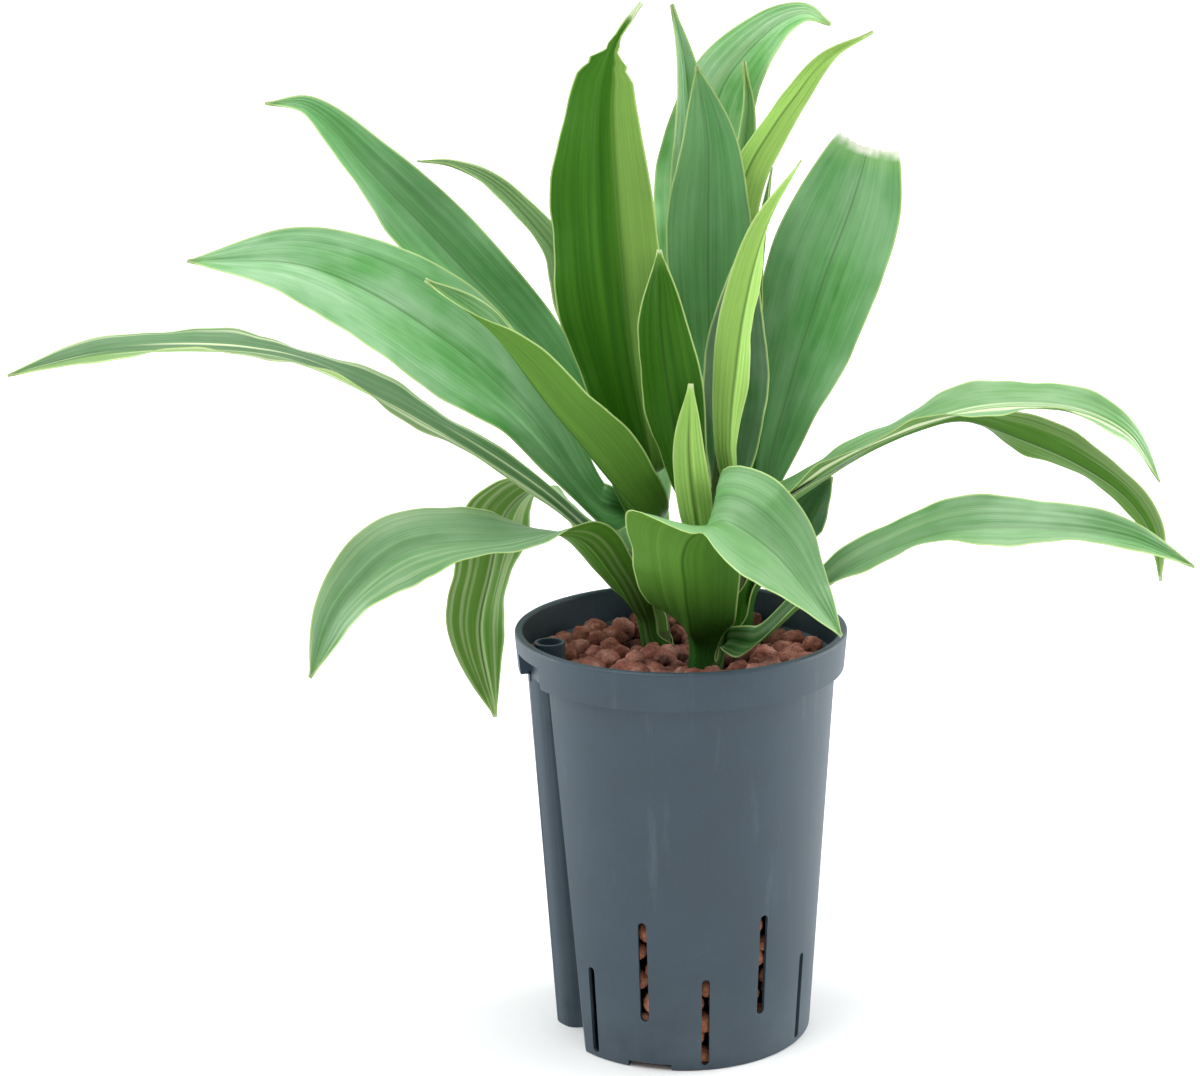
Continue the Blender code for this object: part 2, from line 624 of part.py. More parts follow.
def clay_room():
    """The room inside the pot that clay may fill, clear of its groove, socket and shoots."""
    inner = WALL + GAP
    under_band = POT_HEIGHT - BAND_HEIGHT
    band_room = BAND_INNER_RADIUS - 2 * GAP
    outline = [
        (0, FLOOR + GAP),
        (wall_radius(FLOOR) - inner, FLOOR + GAP),
        (wall_radius(under_band - SHOULDER[1]) - inner, under_band - SHOULDER[1]),
        (band_room, under_band + SHOULDER[0]),
        (band_room, POT_HEIGHT),
        (0, POT_HEIGHT),
    ]
    room = add_object("clay_room", lathe("clay_room", outline, CLAY_SIDES), helper=True)
    outside = RIM_RADIUS + BEYOND
    top = POT_HEIGHT + BEYOND
    for mesh in (groove_solid("groove_clearance", inner, -BEYOND, GROOVE_TOP + inner, outside),
                 block("backing_clearance", GROOVE_ANGLE, BACKING_RADIUS - GAP, outside,
                       GROOVE_TOP_HALF + inner, GROOVE_TOP - BEYOND, top)):
        boolean(room, "DIFFERENCE", add_object(mesh.name, mesh, helper=True),
                solver="MANIFOLD")
    ring = rod("ring_clearance", RING_RADIUS + GAP, GROOVE_TOP - BEYOND, top, RING_SIDES)
    ring = add_object("ring_clearance", ring, helper=True)
    ring.location = bearing(RING_ANGLE) * RING_CENTRE
    boolean(room, "DIFFERENCE", ring, solver="MANIFOLD")
    for name in STEMS:
        hole = add_object("hole_" + name, stem_hole(name), helper=True)
        place_on_stem(hole, name)
        boolean(room, "DIFFERENCE", hole, solver="MANIFOLD")
    return room


def granule_places(rng):
    """Centre and radius of each uppermost granule: rows of a loose, jittered pattern."""
    reach = wall_radius(CLAY_LEVEL) - WALL - GAP
    row_pitch = GRANULE_PITCH * ROW_CLOSENESS
    rows = int(2 * reach / row_pitch) + 2
    for row in range(-rows // 2, rows // 2 + 1):
        for column in range(-rows // 2, rows // 2 + 1):
            x = (column + 0.5 * (row % 2)) * GRANULE_PITCH
            y = row * row_pitch
            x += rng.uniform(-GRANULE_JITTER, GRANULE_JITTER)
            y += rng.uniform(-GRANULE_JITTER, GRANULE_JITTER)
            radius = rng.uniform(GRANULE_SMALLEST, GRANULE_LARGEST)
            height = clay_height(x, y) + rng.uniform(-HEAP_JITTER, HEAP_JITTER)
            if math.hypot(x, y) < reach - GRANULE_INSIDE * radius:
                yield Vector((x, y, height)), radius


def make_clay(finish):
    """The clay: its fill, and the bed of uppermost granules as one body on top."""
    room = clay_room()
    fill = add_object("clay", rod("clay", RIM_RADIUS, 0, FILL_TOP, CLAY_SIDES), finish)
    boolean(fill, "INTERSECT", room, solver="MANIFOLD")
    apply_modifiers(fill)

    bed = rod("clay_granules", RIM_RADIUS, FILL_TOP + GAP, BED_TOP, CLAY_SIDES)
    bed = add_object("clay_granules", bed, finish)
    rng = np.random.default_rng(SEED)
    lumps = bpy.data.collections.new("granules")
    for place, radius in granule_places(rng):
        lumps.objects.link(bpy.data.objects.new("granule", granule(place, radius, rng)))
    boolean(bed, "UNION", group=lumps, solver="MANIFOLD")
    boolean(bed, "INTERSECT", room, solver="MANIFOLD")
    beyond_bed = block("gauge_side", RING_ANGLE, GAUGE_SIDE, 2 * RIM_RADIUS, 2 * RIM_RADIUS,
                       0, 2 * POT_HEIGHT)
    boolean(bed, "DIFFERENCE", add_object("gauge_side", beyond_bed, helper=True),
            solver="MANIFOLD")
    floor_of_bed = block("under_bed", 0, -2 * RIM_RADIUS, 2 * RIM_RADIUS, 2 * RIM_RADIUS,
                         0, FILL_TOP + GAP)
    boolean(bed, "DIFFERENCE", add_object("under_bed", floor_of_bed, helper=True),
            solver="MANIFOLD")
    apply_modifiers(bed)
    for item in list(lumps.objects):
        bpy.data.objects.remove(item, do_unlink=True)
    bpy.data.collections.remove(lumps)


def smooth_step(low, high, value):
    share = np.clip((value - low) / (high - low), 0, 1)
    return share * share * (3 - 2 * share)


def path_through(points, count):
    """Evenly spaced points along a smooth curve through the given ones, and its length."""
    points = np.array(points, float)
    ends = np.vstack([2 * points[0] - points[1], points, 2 * points[-1] - points[-2]])
    dense = []
    share = np.linspace(0, 1, 24, endpoint=False)[:, None]
    for before, start, end, after in zip(ends, ends[1:], ends[2:], ends[3:]):
        chord = np.linalg.norm(end - start)
        leave = (end - before) / (np.linalg.norm(start - before) + chord) * chord
        arrive = (after - start) / (np.linalg.norm(after - end) + chord) * chord
        dense.append(
            start * (2 * share**3 - 3 * share**2 + 1) + end * (3 * share**2 - 2 * share**3)
            + leave * (share**3 - 2 * share**2 + share) + arrive * (share**3 - share**2))
    dense = np.vstack(dense + [points[-1:]])
    run = np.concatenate([[0], np.cumsum(np.linalg.norm(np.diff(dense, axis=0), axis=1))])
    wanted = np.linspace(0, run[-1], count)
    return np.stack([np.interp(wanted, run, dense[:, k]) for k in range(3)], 1), run[-1]


def unit(vectors):
    return vectors / np.linalg.norm(vectors, axis=-1, keepdims=True)


def leaf_width(leaf, share, base_half):
    """Half the blade's width along its length: clasping base, narrow neck, belly, point."""
    most = leaf["width"] * MM / 2
    neck = leaf.get("neck", NECK_SHARE * leaf["width"] / 2 + NECK_EXTRA) * MM
    neck = min(most, neck)
    widest = leaf["widest"]
    belly = neck + (most - neck) * smooth_step(0.05, widest, share)
    beyond = np.clip((share - widest) / (1 - widest), 0, 1)
    end = leaf.get("cut_width", 0) * MM / 2
    taper = (1 - beyond**TAPER[0]) ** TAPER[1]
    half = np.where(share < widest, belly, end + (most - end) * taper)
    half = base_half + (half - base_half) * smooth_step(0, 0.1, share)
    return np.maximum(half, TIP_WIDTH / 2)


def leaf_grid(leaf, rows, columns):
    """The blade's two faces as grids of points, from the clasping base to the tip."""
    root, along, _ = stem_line(leaf["stem"])
    height = leaf["height"] * MM
    on_axis = np.array(root + along * ((height - root.z) / along.z))
    along = np.array(along)
    out = np.array(bearing(leaf["bearing"]))
    out = unit(out - along * out.dot(along))
    hug = stem_radius(leaf["stem"], height) + GAP + BLADE / 2
    start = on_axis + out * hug
    second = start + along * HUG_LENGTH + out * HUG_OPENING
    route = [start, second] + [np.array(point) * MM for point in leaf["route"]]
    spine, length = path_through(route, rows + 1)
    share = np.linspace(0, 1, rows + 1)

    run = unit(np.gradient(spine, axis=0))
    run[0] = along
    looks = unit(np.array([-out] + [np.array(face, float) for face in leaf["facing"]]))
    facing = np.stack([np.interp(share, FACING_PLACES, looks[:, k]) for k in range(3)], 1)
    normal = unit(facing - run * (facing * run).sum(1, keepdims=True))
    side = np.cross(run, normal)

    wrap = math.radians(leaf.get("wrap", BASE_WRAP))
    half = leaf_width(leaf, share, hug * wrap)
    open_out = smooth_step(0, BASE_BLEND / length, share)
    radius = hug + (FOLD_RADIUS - hug) * open_out
    angle = wrap + (math.radians(leaf["fold"]) - wrap) * open_out
    rise, waves, phase = leaf["wave"]
    calm_from, calm = CALM_END
    envelope = smooth_step(*WAVY_FROM, share) * (1 - calm * smooth_step(calm_from, 1, share))

    edge_bend = np.minimum(half / radius, angle)
    edge_rise = radius * (1 - np.cos(edge_bend)) + (half - edge_bend * radius) * np.sin(edge_bend)
    spine = spine - normal * (0.5 * edge_rise * open_out)[:, None]

    faces = [np.empty((rows + 1, columns + 1, 3)) for _ in range(2)]
    for column, part in enumerate(np.linspace(-1, 1, columns + 1)):
        arc = abs(part) * half
        bent = np.minimum(arc / radius, angle)
        flat = arc - bent * radius
        sideways = radius * np.sin(bent) + flat * np.cos(bent)
        upward = radius * (1 - np.cos(bent)) + flat * np.sin(bent)
        sign = math.copysign(1, part)
        local = normal * np.cos(bent)[:, None] - sign * side * np.sin(bent)[:, None]
        ripple = rise * MM * envelope * abs(part) ** WAVE_POWER * half / half.max()
        ripple = ripple * np.sin(math.tau * waves * share + phase + sign * WAVE_SHIFT)
        middle = spine + side * (sign * sideways)[:, None] + normal * upward[:, None]
        middle = middle + local * ripple[:, None]
        if "cut_width" in leaf:
            hollow = CUT_DEPTH * (1 - part * part) * smooth_step(calm_from, 1, share)
            middle = middle - run * hollow[:, None]
        faces[0][:, column] = middle + local * (BLADE / 2)
        faces[1][:, column] = middle - local * (BLADE / 2)
    return faces


def blade_mesh(name, faces):
    """A closed blade from its two grids, split into triangles alike on both faces."""
    upper, lower = faces
    rows, columns = upper.shape[0] - 1, upper.shape[1] - 1
    points = np.concatenate([upper.reshape(-1, 3), lower.reshape(-1, 3)])
    below = upper.shape[0] * upper.shape[1]

    def at(row, column):
        return row * (columns + 1) + column

    triangles = []
    for row in range(rows):
        for column in range(columns):
            a, b = at(row, column), at(row, column + 1)
            c, d = at(row + 1, column + 1), at(row + 1, column)
            if (column < columns / 2) == (row % 2 == 0):
                split = [(a, b, c), (a, c, d)]
            else:
                split = [(a, b, d), (b, c, d)]
            triangles += split
            triangles += [(k + below, j + below, i + below) for i, j, k in split]
    rim = [at(row, 0) for row in range(rows, 0, -1)]
    rim += [at(0, column) for column in range(columns)]
    rim += [at(row, columns) for row in range(rows)]
    rim += [at(rows, column) for column in range(columns, 0, -1)]
    for a, b in zip(rim, rim[1:] + rim[:1]):
        triangles += [(b, a, a + below), (b, a + below, b + below)]
    mesh = bpy.data.meshes.new(name)
    mesh.from_pydata([tuple(point) for point in points], [], triangles)
    shape = bmesh.new()
    shape.from_mesh(mesh)
    bpy.data.meshes.remove(mesh)
    return finish_mesh(name, shape)


def make_leaves(finish, pale_finish):
    for name, leaf in LEAVES.items():
        mesh = blade_mesh("leaf_" + name, leaf_grid(leaf, ROWS, COLUMNS))
        mesh.shade_smooth()
        add_object("leaf_" + name, mesh, pale_finish if name in PALE_LEAVES else finish)


def main():
    clear_scene()
    make_pot(material("pot_plastic", *POT_COLOUR))
    make_clay(material("expanded_clay", *CLAY_COLOUR))
    make_stems(material("green_stem", *STEM_COLOUR))
    make_leaves(material("leaf_green", *LEAF_COLOUR),
                material("young_leaf_green", *PALE_LEAF_COLOUR))


main()
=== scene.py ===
# The dressed model of a young dracaena in a culture pot: waxy ribbed blades, crumbly fired clay
# and matt plastic. Metres, +Z up. The origin is the middle of the pot's foot; the front is -Y
# and +X is right.
import json
import math

import bmesh
import bpy
import numpy as np
from mathutils import Matrix, Vector

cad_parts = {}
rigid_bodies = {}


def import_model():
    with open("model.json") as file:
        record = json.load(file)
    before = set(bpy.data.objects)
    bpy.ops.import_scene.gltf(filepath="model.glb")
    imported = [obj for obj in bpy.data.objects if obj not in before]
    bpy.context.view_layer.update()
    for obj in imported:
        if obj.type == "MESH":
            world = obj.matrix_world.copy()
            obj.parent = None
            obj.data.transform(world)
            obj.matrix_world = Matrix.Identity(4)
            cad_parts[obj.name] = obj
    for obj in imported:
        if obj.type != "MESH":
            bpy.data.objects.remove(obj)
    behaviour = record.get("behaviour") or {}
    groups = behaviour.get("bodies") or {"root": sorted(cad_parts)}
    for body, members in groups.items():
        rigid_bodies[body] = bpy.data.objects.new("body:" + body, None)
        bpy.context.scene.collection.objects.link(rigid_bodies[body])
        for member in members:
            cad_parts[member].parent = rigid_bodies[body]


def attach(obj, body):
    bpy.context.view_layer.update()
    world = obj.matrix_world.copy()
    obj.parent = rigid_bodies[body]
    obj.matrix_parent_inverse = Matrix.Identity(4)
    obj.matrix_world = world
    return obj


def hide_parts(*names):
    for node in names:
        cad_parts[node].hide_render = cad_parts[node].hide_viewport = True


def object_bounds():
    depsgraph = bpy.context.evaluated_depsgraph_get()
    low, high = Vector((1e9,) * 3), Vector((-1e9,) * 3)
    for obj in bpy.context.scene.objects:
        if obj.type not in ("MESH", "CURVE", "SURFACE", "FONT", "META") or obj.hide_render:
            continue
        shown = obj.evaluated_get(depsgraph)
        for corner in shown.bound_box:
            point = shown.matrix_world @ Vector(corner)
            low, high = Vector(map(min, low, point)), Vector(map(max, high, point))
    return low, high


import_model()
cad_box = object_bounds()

MM = 0.001

# Camera
PHOTO_WIDTH = 1200
FOCAL_PIXELS = 2714
SENSOR = 36
CAMERA_PLACE = (0, -1.17640, 0.52678)
CAMERA_LEFT = math.radians(1.742)
CAMERA_DOWN = math.radians(14.105)
CAMERA_ROLL = math.radians(0.805)
CAMERA_NEAR = 0.05
CAMERA_FAR = 60

# Studio: how bright the room is behind the camera, behind the plant and, added to both, overhead
STUDIO_FRONT = 0.40
STUDIO_BACK = 1.0
STUDIO_ABOVE = 0.35
STUDIO_COLOUR = (0.95, 0.98, 1.0, 1)
FLOOR_RADIUS = 24
FLOOR_COLOURS = ((0.80, 0.80, 0.80), (0.83, 0.83, 0.83))
FLOOR_GLOW = 0.55           # the floor's own light, far from the plant
GLOW_REACH = (0.25, 2.2)    # distances over which it grows from none
LIGHTS_AIM = (0, 0.02, 0.22)
LIGHTS = {                  # place, width, power and colour of each soft light
    "key": ((-0.9, -0.9, 1.9), 1.0, 18, (1, 0.99, 0.97)),
    "left": ((-1.7, 0.5, 0.6), 1.2, 21, (0.97, 0.99, 1)),
    "right": ((1.7, 0.5, 0.7), 1.2, 36, (1, 1, 1)),
    "top": ((0.1, 0.1, 1.8), 1.0, 18, (1, 1, 1)),
}

# Colours, as linear red, green and blue
WHITE = (1, 1, 1)
BLACK = (0, 0, 0)
# The leaf skins' blue-green sheen colour is a painted reflection of the bright room.
UPPER_SKIN = dict(
    deep=(0.042, 0.168, 0.036), light=(0.092, 0.270, 0.078), painted_sheen=(0.220, 0.365, 0.215),
    yellow=(0.250, 0.440, 0.130), rib_tone=(0.06, 0.15, 0.04),
    gloss=0.42, shine=0.40, most_tone=2.0)
LOWER_SKIN = dict(
    deep=(0.024, 0.120, 0.003), light=(0.056, 0.190, 0.010), painted_sheen=(0.080, 0.225, 0.022),
    yellow=(0.380, 0.620, 0.145), rib_tone=(0.012, 0.045, 0.003),
    gloss=0.50, shine=0.10, most_tone=0.9)
LEAF_SHADE = (0.016, 0.080, 0.010)
LEAF_STRIPE = (0.60, 0.68, 0.40)
LEAF_MARGIN = (0.42, 0.56, 0.20)
LEAF_DRY = (0.78, 0.80, 0.66)
PLASTIC_PLAIN = (0.083, 0.115, 0.138)
PLASTIC_DEEP = (0.021, 0.040, 0.058)
PLASTIC_LIGHT = (0.031, 0.055, 0.076)
PLASTIC_RUBBED = (0.15, 0.19, 0.21)
PLASTIC_LIME = (0.14, 0.17, 0.19)
CLAY_TOP_COLOURS = ((0.170, 0.056, 0.038), (0.330, 0.130, 0.096), (0.500, 0.270, 0.220))
CLAY_DRY_COLOURS = ((0.16, 0.060, 0.030), (0.42, 0.17, 0.09), (0.62, 0.34, 0.22))
# Near black: painted shade for the clay deep in the pot, seen through the gaps.
CLAY_CORE_SHADE_COLOURS = ((0.006, 0.004, 0.003), (0.010, 0.006, 0.005), (0.016, 0.009, 0.007))
# Painted shade in the gaps between the clay granules.
CLAY_PAINTED_SHADE = (0.014, 0.008, 0.007)
STEM_PLAIN = (0.055, 0.105, 0.020)
STEM_DEEP = (0.035, 0.075, 0.014)
STEM_LIGHT = (0.085, 0.150, 0.030)
STEM_SCAR = (0.15, 0.17, 0.06)

# Leaf skin: how close its marks lie, per metre across and along the blade, and its lines' widths
STREAKS = (330, 7, 1)
FIBRES = (1700, 14, 1)
CLOUDS = (50, 20, 1)
BANDS = (210, 3.5, 1)
MIDRIB_LINE = (0.25 * MM, 0.9 * MM)
MARGIN_LINE = (0.35 * MM, 1.0 * MM)

# Pot
POT_HEIGHT = 190 * MM
RIM_RADIUS = 75 * MM
BAND_HEIGHT = 17.5 * MM
BAND_RADIUS = 73.5 * MM
BAND_INNER_RADIUS = 71.2 * MM
WALL_TOP_RADIUS = 69.5 * MM
FOOT_RADIUS = 58.7 * MM
WALL = 1.6 * MM
FLOOR = 2.0 * MM
UNDER_BAND = POT_HEIGHT - BAND_HEIGHT
INNER_STEP = UNDER_BAND + 2 * MM
CORNER_ROUNDS = {           # index of a corner in the pot's outline: its radius
    1: 1.4 * MM, 2: 0.5 * MM, 3: 0.6 * MM, 4: 1.5 * MM, 5: 1.2 * MM, 6: 0.8 * MM, 8: 1.0 * MM}
POT_SIDES = 144
POT_CREASE = 32             # degrees from which an edge of the moulding shows sharp
BEYOND_POT = RIM_RADIUS + 8 * MM  # where cutters end
SLOT_COUNT = 7
SLOT_ARC = 8                # steps of a slot's round end
SLOT_CLEARANCE = 360 / SLOT_COUNT / 2 - 6  # a slot this close to the groove is left out
UPPER_SLOT = dict(first=-16.5, low=23.5 * MM, high=71.5 * MM, width=4.0 * MM)
LOWER_SLOT = dict(first=9.5, low=2.5 * MM, high=44.5 * MM, width=3.6 * MM)
NOTCH_COUNT = 3
NOTCH_FIRST = -15.0
NOTCH_WIDTH = 20 * MM
NOTCH_HEIGHT = 3 * MM
GROOVE_ANGLE = -67.0
GROOVE_TOP = 171 * MM
GROOVE_TOP_HALF = 12.6 * MM
GROOVE_FOOT_HALF = 18.5 * MM
GROOVE_DEPTH = 15 * MM
# How deep behind its mouth the groove is how wide, as a share of the mouth
GROOVE_SECTION = ((0, 1), (2.2 * MM, 0.60), (5 * MM, 0.46), (9 * MM, 0.40))
GROOVE_INNER_SHARE = 0.2    # the same for its deepest part
GROOVE_STEPS = 11
LIP_UNDERSIDE = 182.5 * MM
BACKING_RADIUS = 66.0 * MM
RING_ANGLE = -75.0
RING_CENTRE = 60.5 * MM
RING_RADIUS = 7.0 * MM
RING_BORE = 5.5 * MM
RING_FOOT = GROOVE_TOP + 0.4 * MM
RING_TOP = 187.5 * MM
RING_ROUND = 0.5 * MM
RING_SIDES = 40
TAB_ANGLE = -44.0
TAB_HALF = 2.6 * MM
TAB_RADII = (BAND_INNER_RADIUS - 2 * MM, BAND_INNER_RADIUS + 1 * MM)
TAB_HEIGHTS = (POT_HEIGHT - 3.4 * MM, POT_HEIGHT - 1.4 * MM)

# Expanded clay
CLAY_SEED = 7
CLAY_LEVEL = 174.5 * MM
CLAY_DIP = 7.5 * MM
CLAY_DIP_REACH = (10 * MM, 28 * MM)
CLAY_AT_WALL = 0.4 * MM     # how close granules come to the pot's wall
GRANULE_PITCH = 13.0 * MM
GRANULE_ROWS = 0.87         # pitch of the rows, as a share of that
GRANULE_SHIFT = 1.6 * MM    # how far a granule may lie from its place, across the pot
GRANULE_LIFT = 2.0 * MM     # and in height
GRANULE_RAISED = 0.6 * MM
GRANULE_SMALLEST = 5.8 * MM
GRANULE_LARGEST = 8.0 * MM
GRANULE_CORE = 0.86         # radius without its lumps, as a share of the whole
CLEAR_OF_WALL = 0.35        # how much of its radius a top granule keeps inside the wall
CLEAR_OF_GROOVE = 0.8       # and out of the groove
SMALL_GRANULES = (3.6 * MM, 5.6 * MM)
WALL_LAYERS = 9
WALL_LAYER_FIRST = 5 * MM
WALL_LAYER_PITCH = 8.6 * MM
WALL_GRANULES = 36          # in each layer
GROOVE_CLEAR_ANGLE = 26     # degrees each side of the groove's middle that have none
CORE_DROP = 9 * MM
CORE_INSET = 17 * MM
CORE_SIDES = 48
GAP = 0.3 * MM

# Shoots
CLAY_TOP = 175 * MM
STEM_ROOT = 95 * MM         # height at which the shoots begin, deep in the clay
STEM_BASE_RADIUS = 6.8 * MM
STEM_TIP_RADIUS = 4.0 * MM
STEM_SIDES = 32
STEM_RINGS = 60
STEM_BARE = 8 * MM          # how far below the clay's surface the rings start
STEM_BARK = 0.15 * MM       # how much thinner the shoot is there than its solid
RINGS_PER_SCAR = 5
SCAR_DEPTH = 0.35 * MM
STEMS = {
    "left": ((-11, 29, 175), (-20, 33, 278)),
    "front": ((11, -5, 175), (20, 0, 274)),
    "back": ((25, 32, 175), (30, 36, 286)),
}

# Leaf blades
BLADE = 0.8 * MM            # thickness of the solid that a blade stands for
BLADE_FORM = {
    "Ribs": 8.0, "Rib height": 0.10 * MM, "Midrib depth": 0.35 * MM,
    "Midrib reach": 1.6 * MM, "Thickness": 0.55 * MM, "Edge thickness": 0.30 * MM}
BLADE_CREASE = 50           # degrees from which an edge of a blade shows sharp
SEAL = 0.004 * MM           # how close the points of two faces lie where their edges join
TIP_WIDTH = 0.7 * MM
TIP_INSET = 0.8 * MM        # the leaves' sheets stay this far inside the CAD model's box
TAPER = (1.9, 0.95)         # powers that round a blade off beyond its widest place
FOLD_RADIUS = 5 * MM        # radius of the bend along the midrib
FOLD_WANDER = math.radians(2)
HUG_LENGTH = 7 * MM         # how far a blade hugs its shoot
HUG_OPENING = 1.3 * MM      # and how far it has opened by then
BASE_BLEND = 30 * MM        # length over which a base unwraps into the open blade
WAVE_GROWTH = 2.2           # how steeply the waves grow towards the edge
WAVE_LAG = 0.9              # how far the two edges' waves are out of step
SHEATH_LENGTH = 26 * MM     # how far a leaf's sheath runs down its shoot
SHEATH_SUNK = 9 * MM        # how far the lowest sheaths go into the clay
SHEATH_WRAP = 140           # degrees that each half goes round the shoot at its lower end
SHEATH_ROWS = 9
NECK_SHARE = 0.42
NECK_EXTRA = 1.5
ROW_LENGTH = 2.4 * MM       # length of blade between two rows of points
HALF_COLUMNS = 20
COLUMN_SPREAD = 1.12        # above 1, the columns of points lie closer towards the edges
FACING_SHARES = (0, 0.3, 0.65, 1)
FINE_WAVE = (0.12, 3.7, 2.1)  # height, count and phase of the small waves, next to the large
CUT_DEPTH = 3 * MM          # how far a cut tip is hollowed
CUT_JAG = 0.3 * MM          # and how ragged it is
CUT_FROM = 0.975
TORN_LENGTH = 0.11          # share of the leaf that a snapped tip narrows over
TORN_STEP = 0.04
TORN_NOTCH = 0.22
TORN_NOTCHES = 170
TORN_HALF = 1.3 * MM
HALVES_BLEND = 0.12         # how softly the colours of a blade's two halves meet
TIP_PALE = (0.35, 0.93)     # how much yellower a tip is, and from which share of the length
TIP_DRY = (0.3, 0.985)      # how dry a tip is, and from where
TORN_DRY = (0.4, 0.02)      # how dry a snapped tip is, and over which share of the length
CUT_DRY = (0.980, 0.994)    # where the dry edge of a cut tip begins and is whole
LEAF_SEED = 100
GRAIN_STEP = 3.7            # sets the patterns of two leaves apart
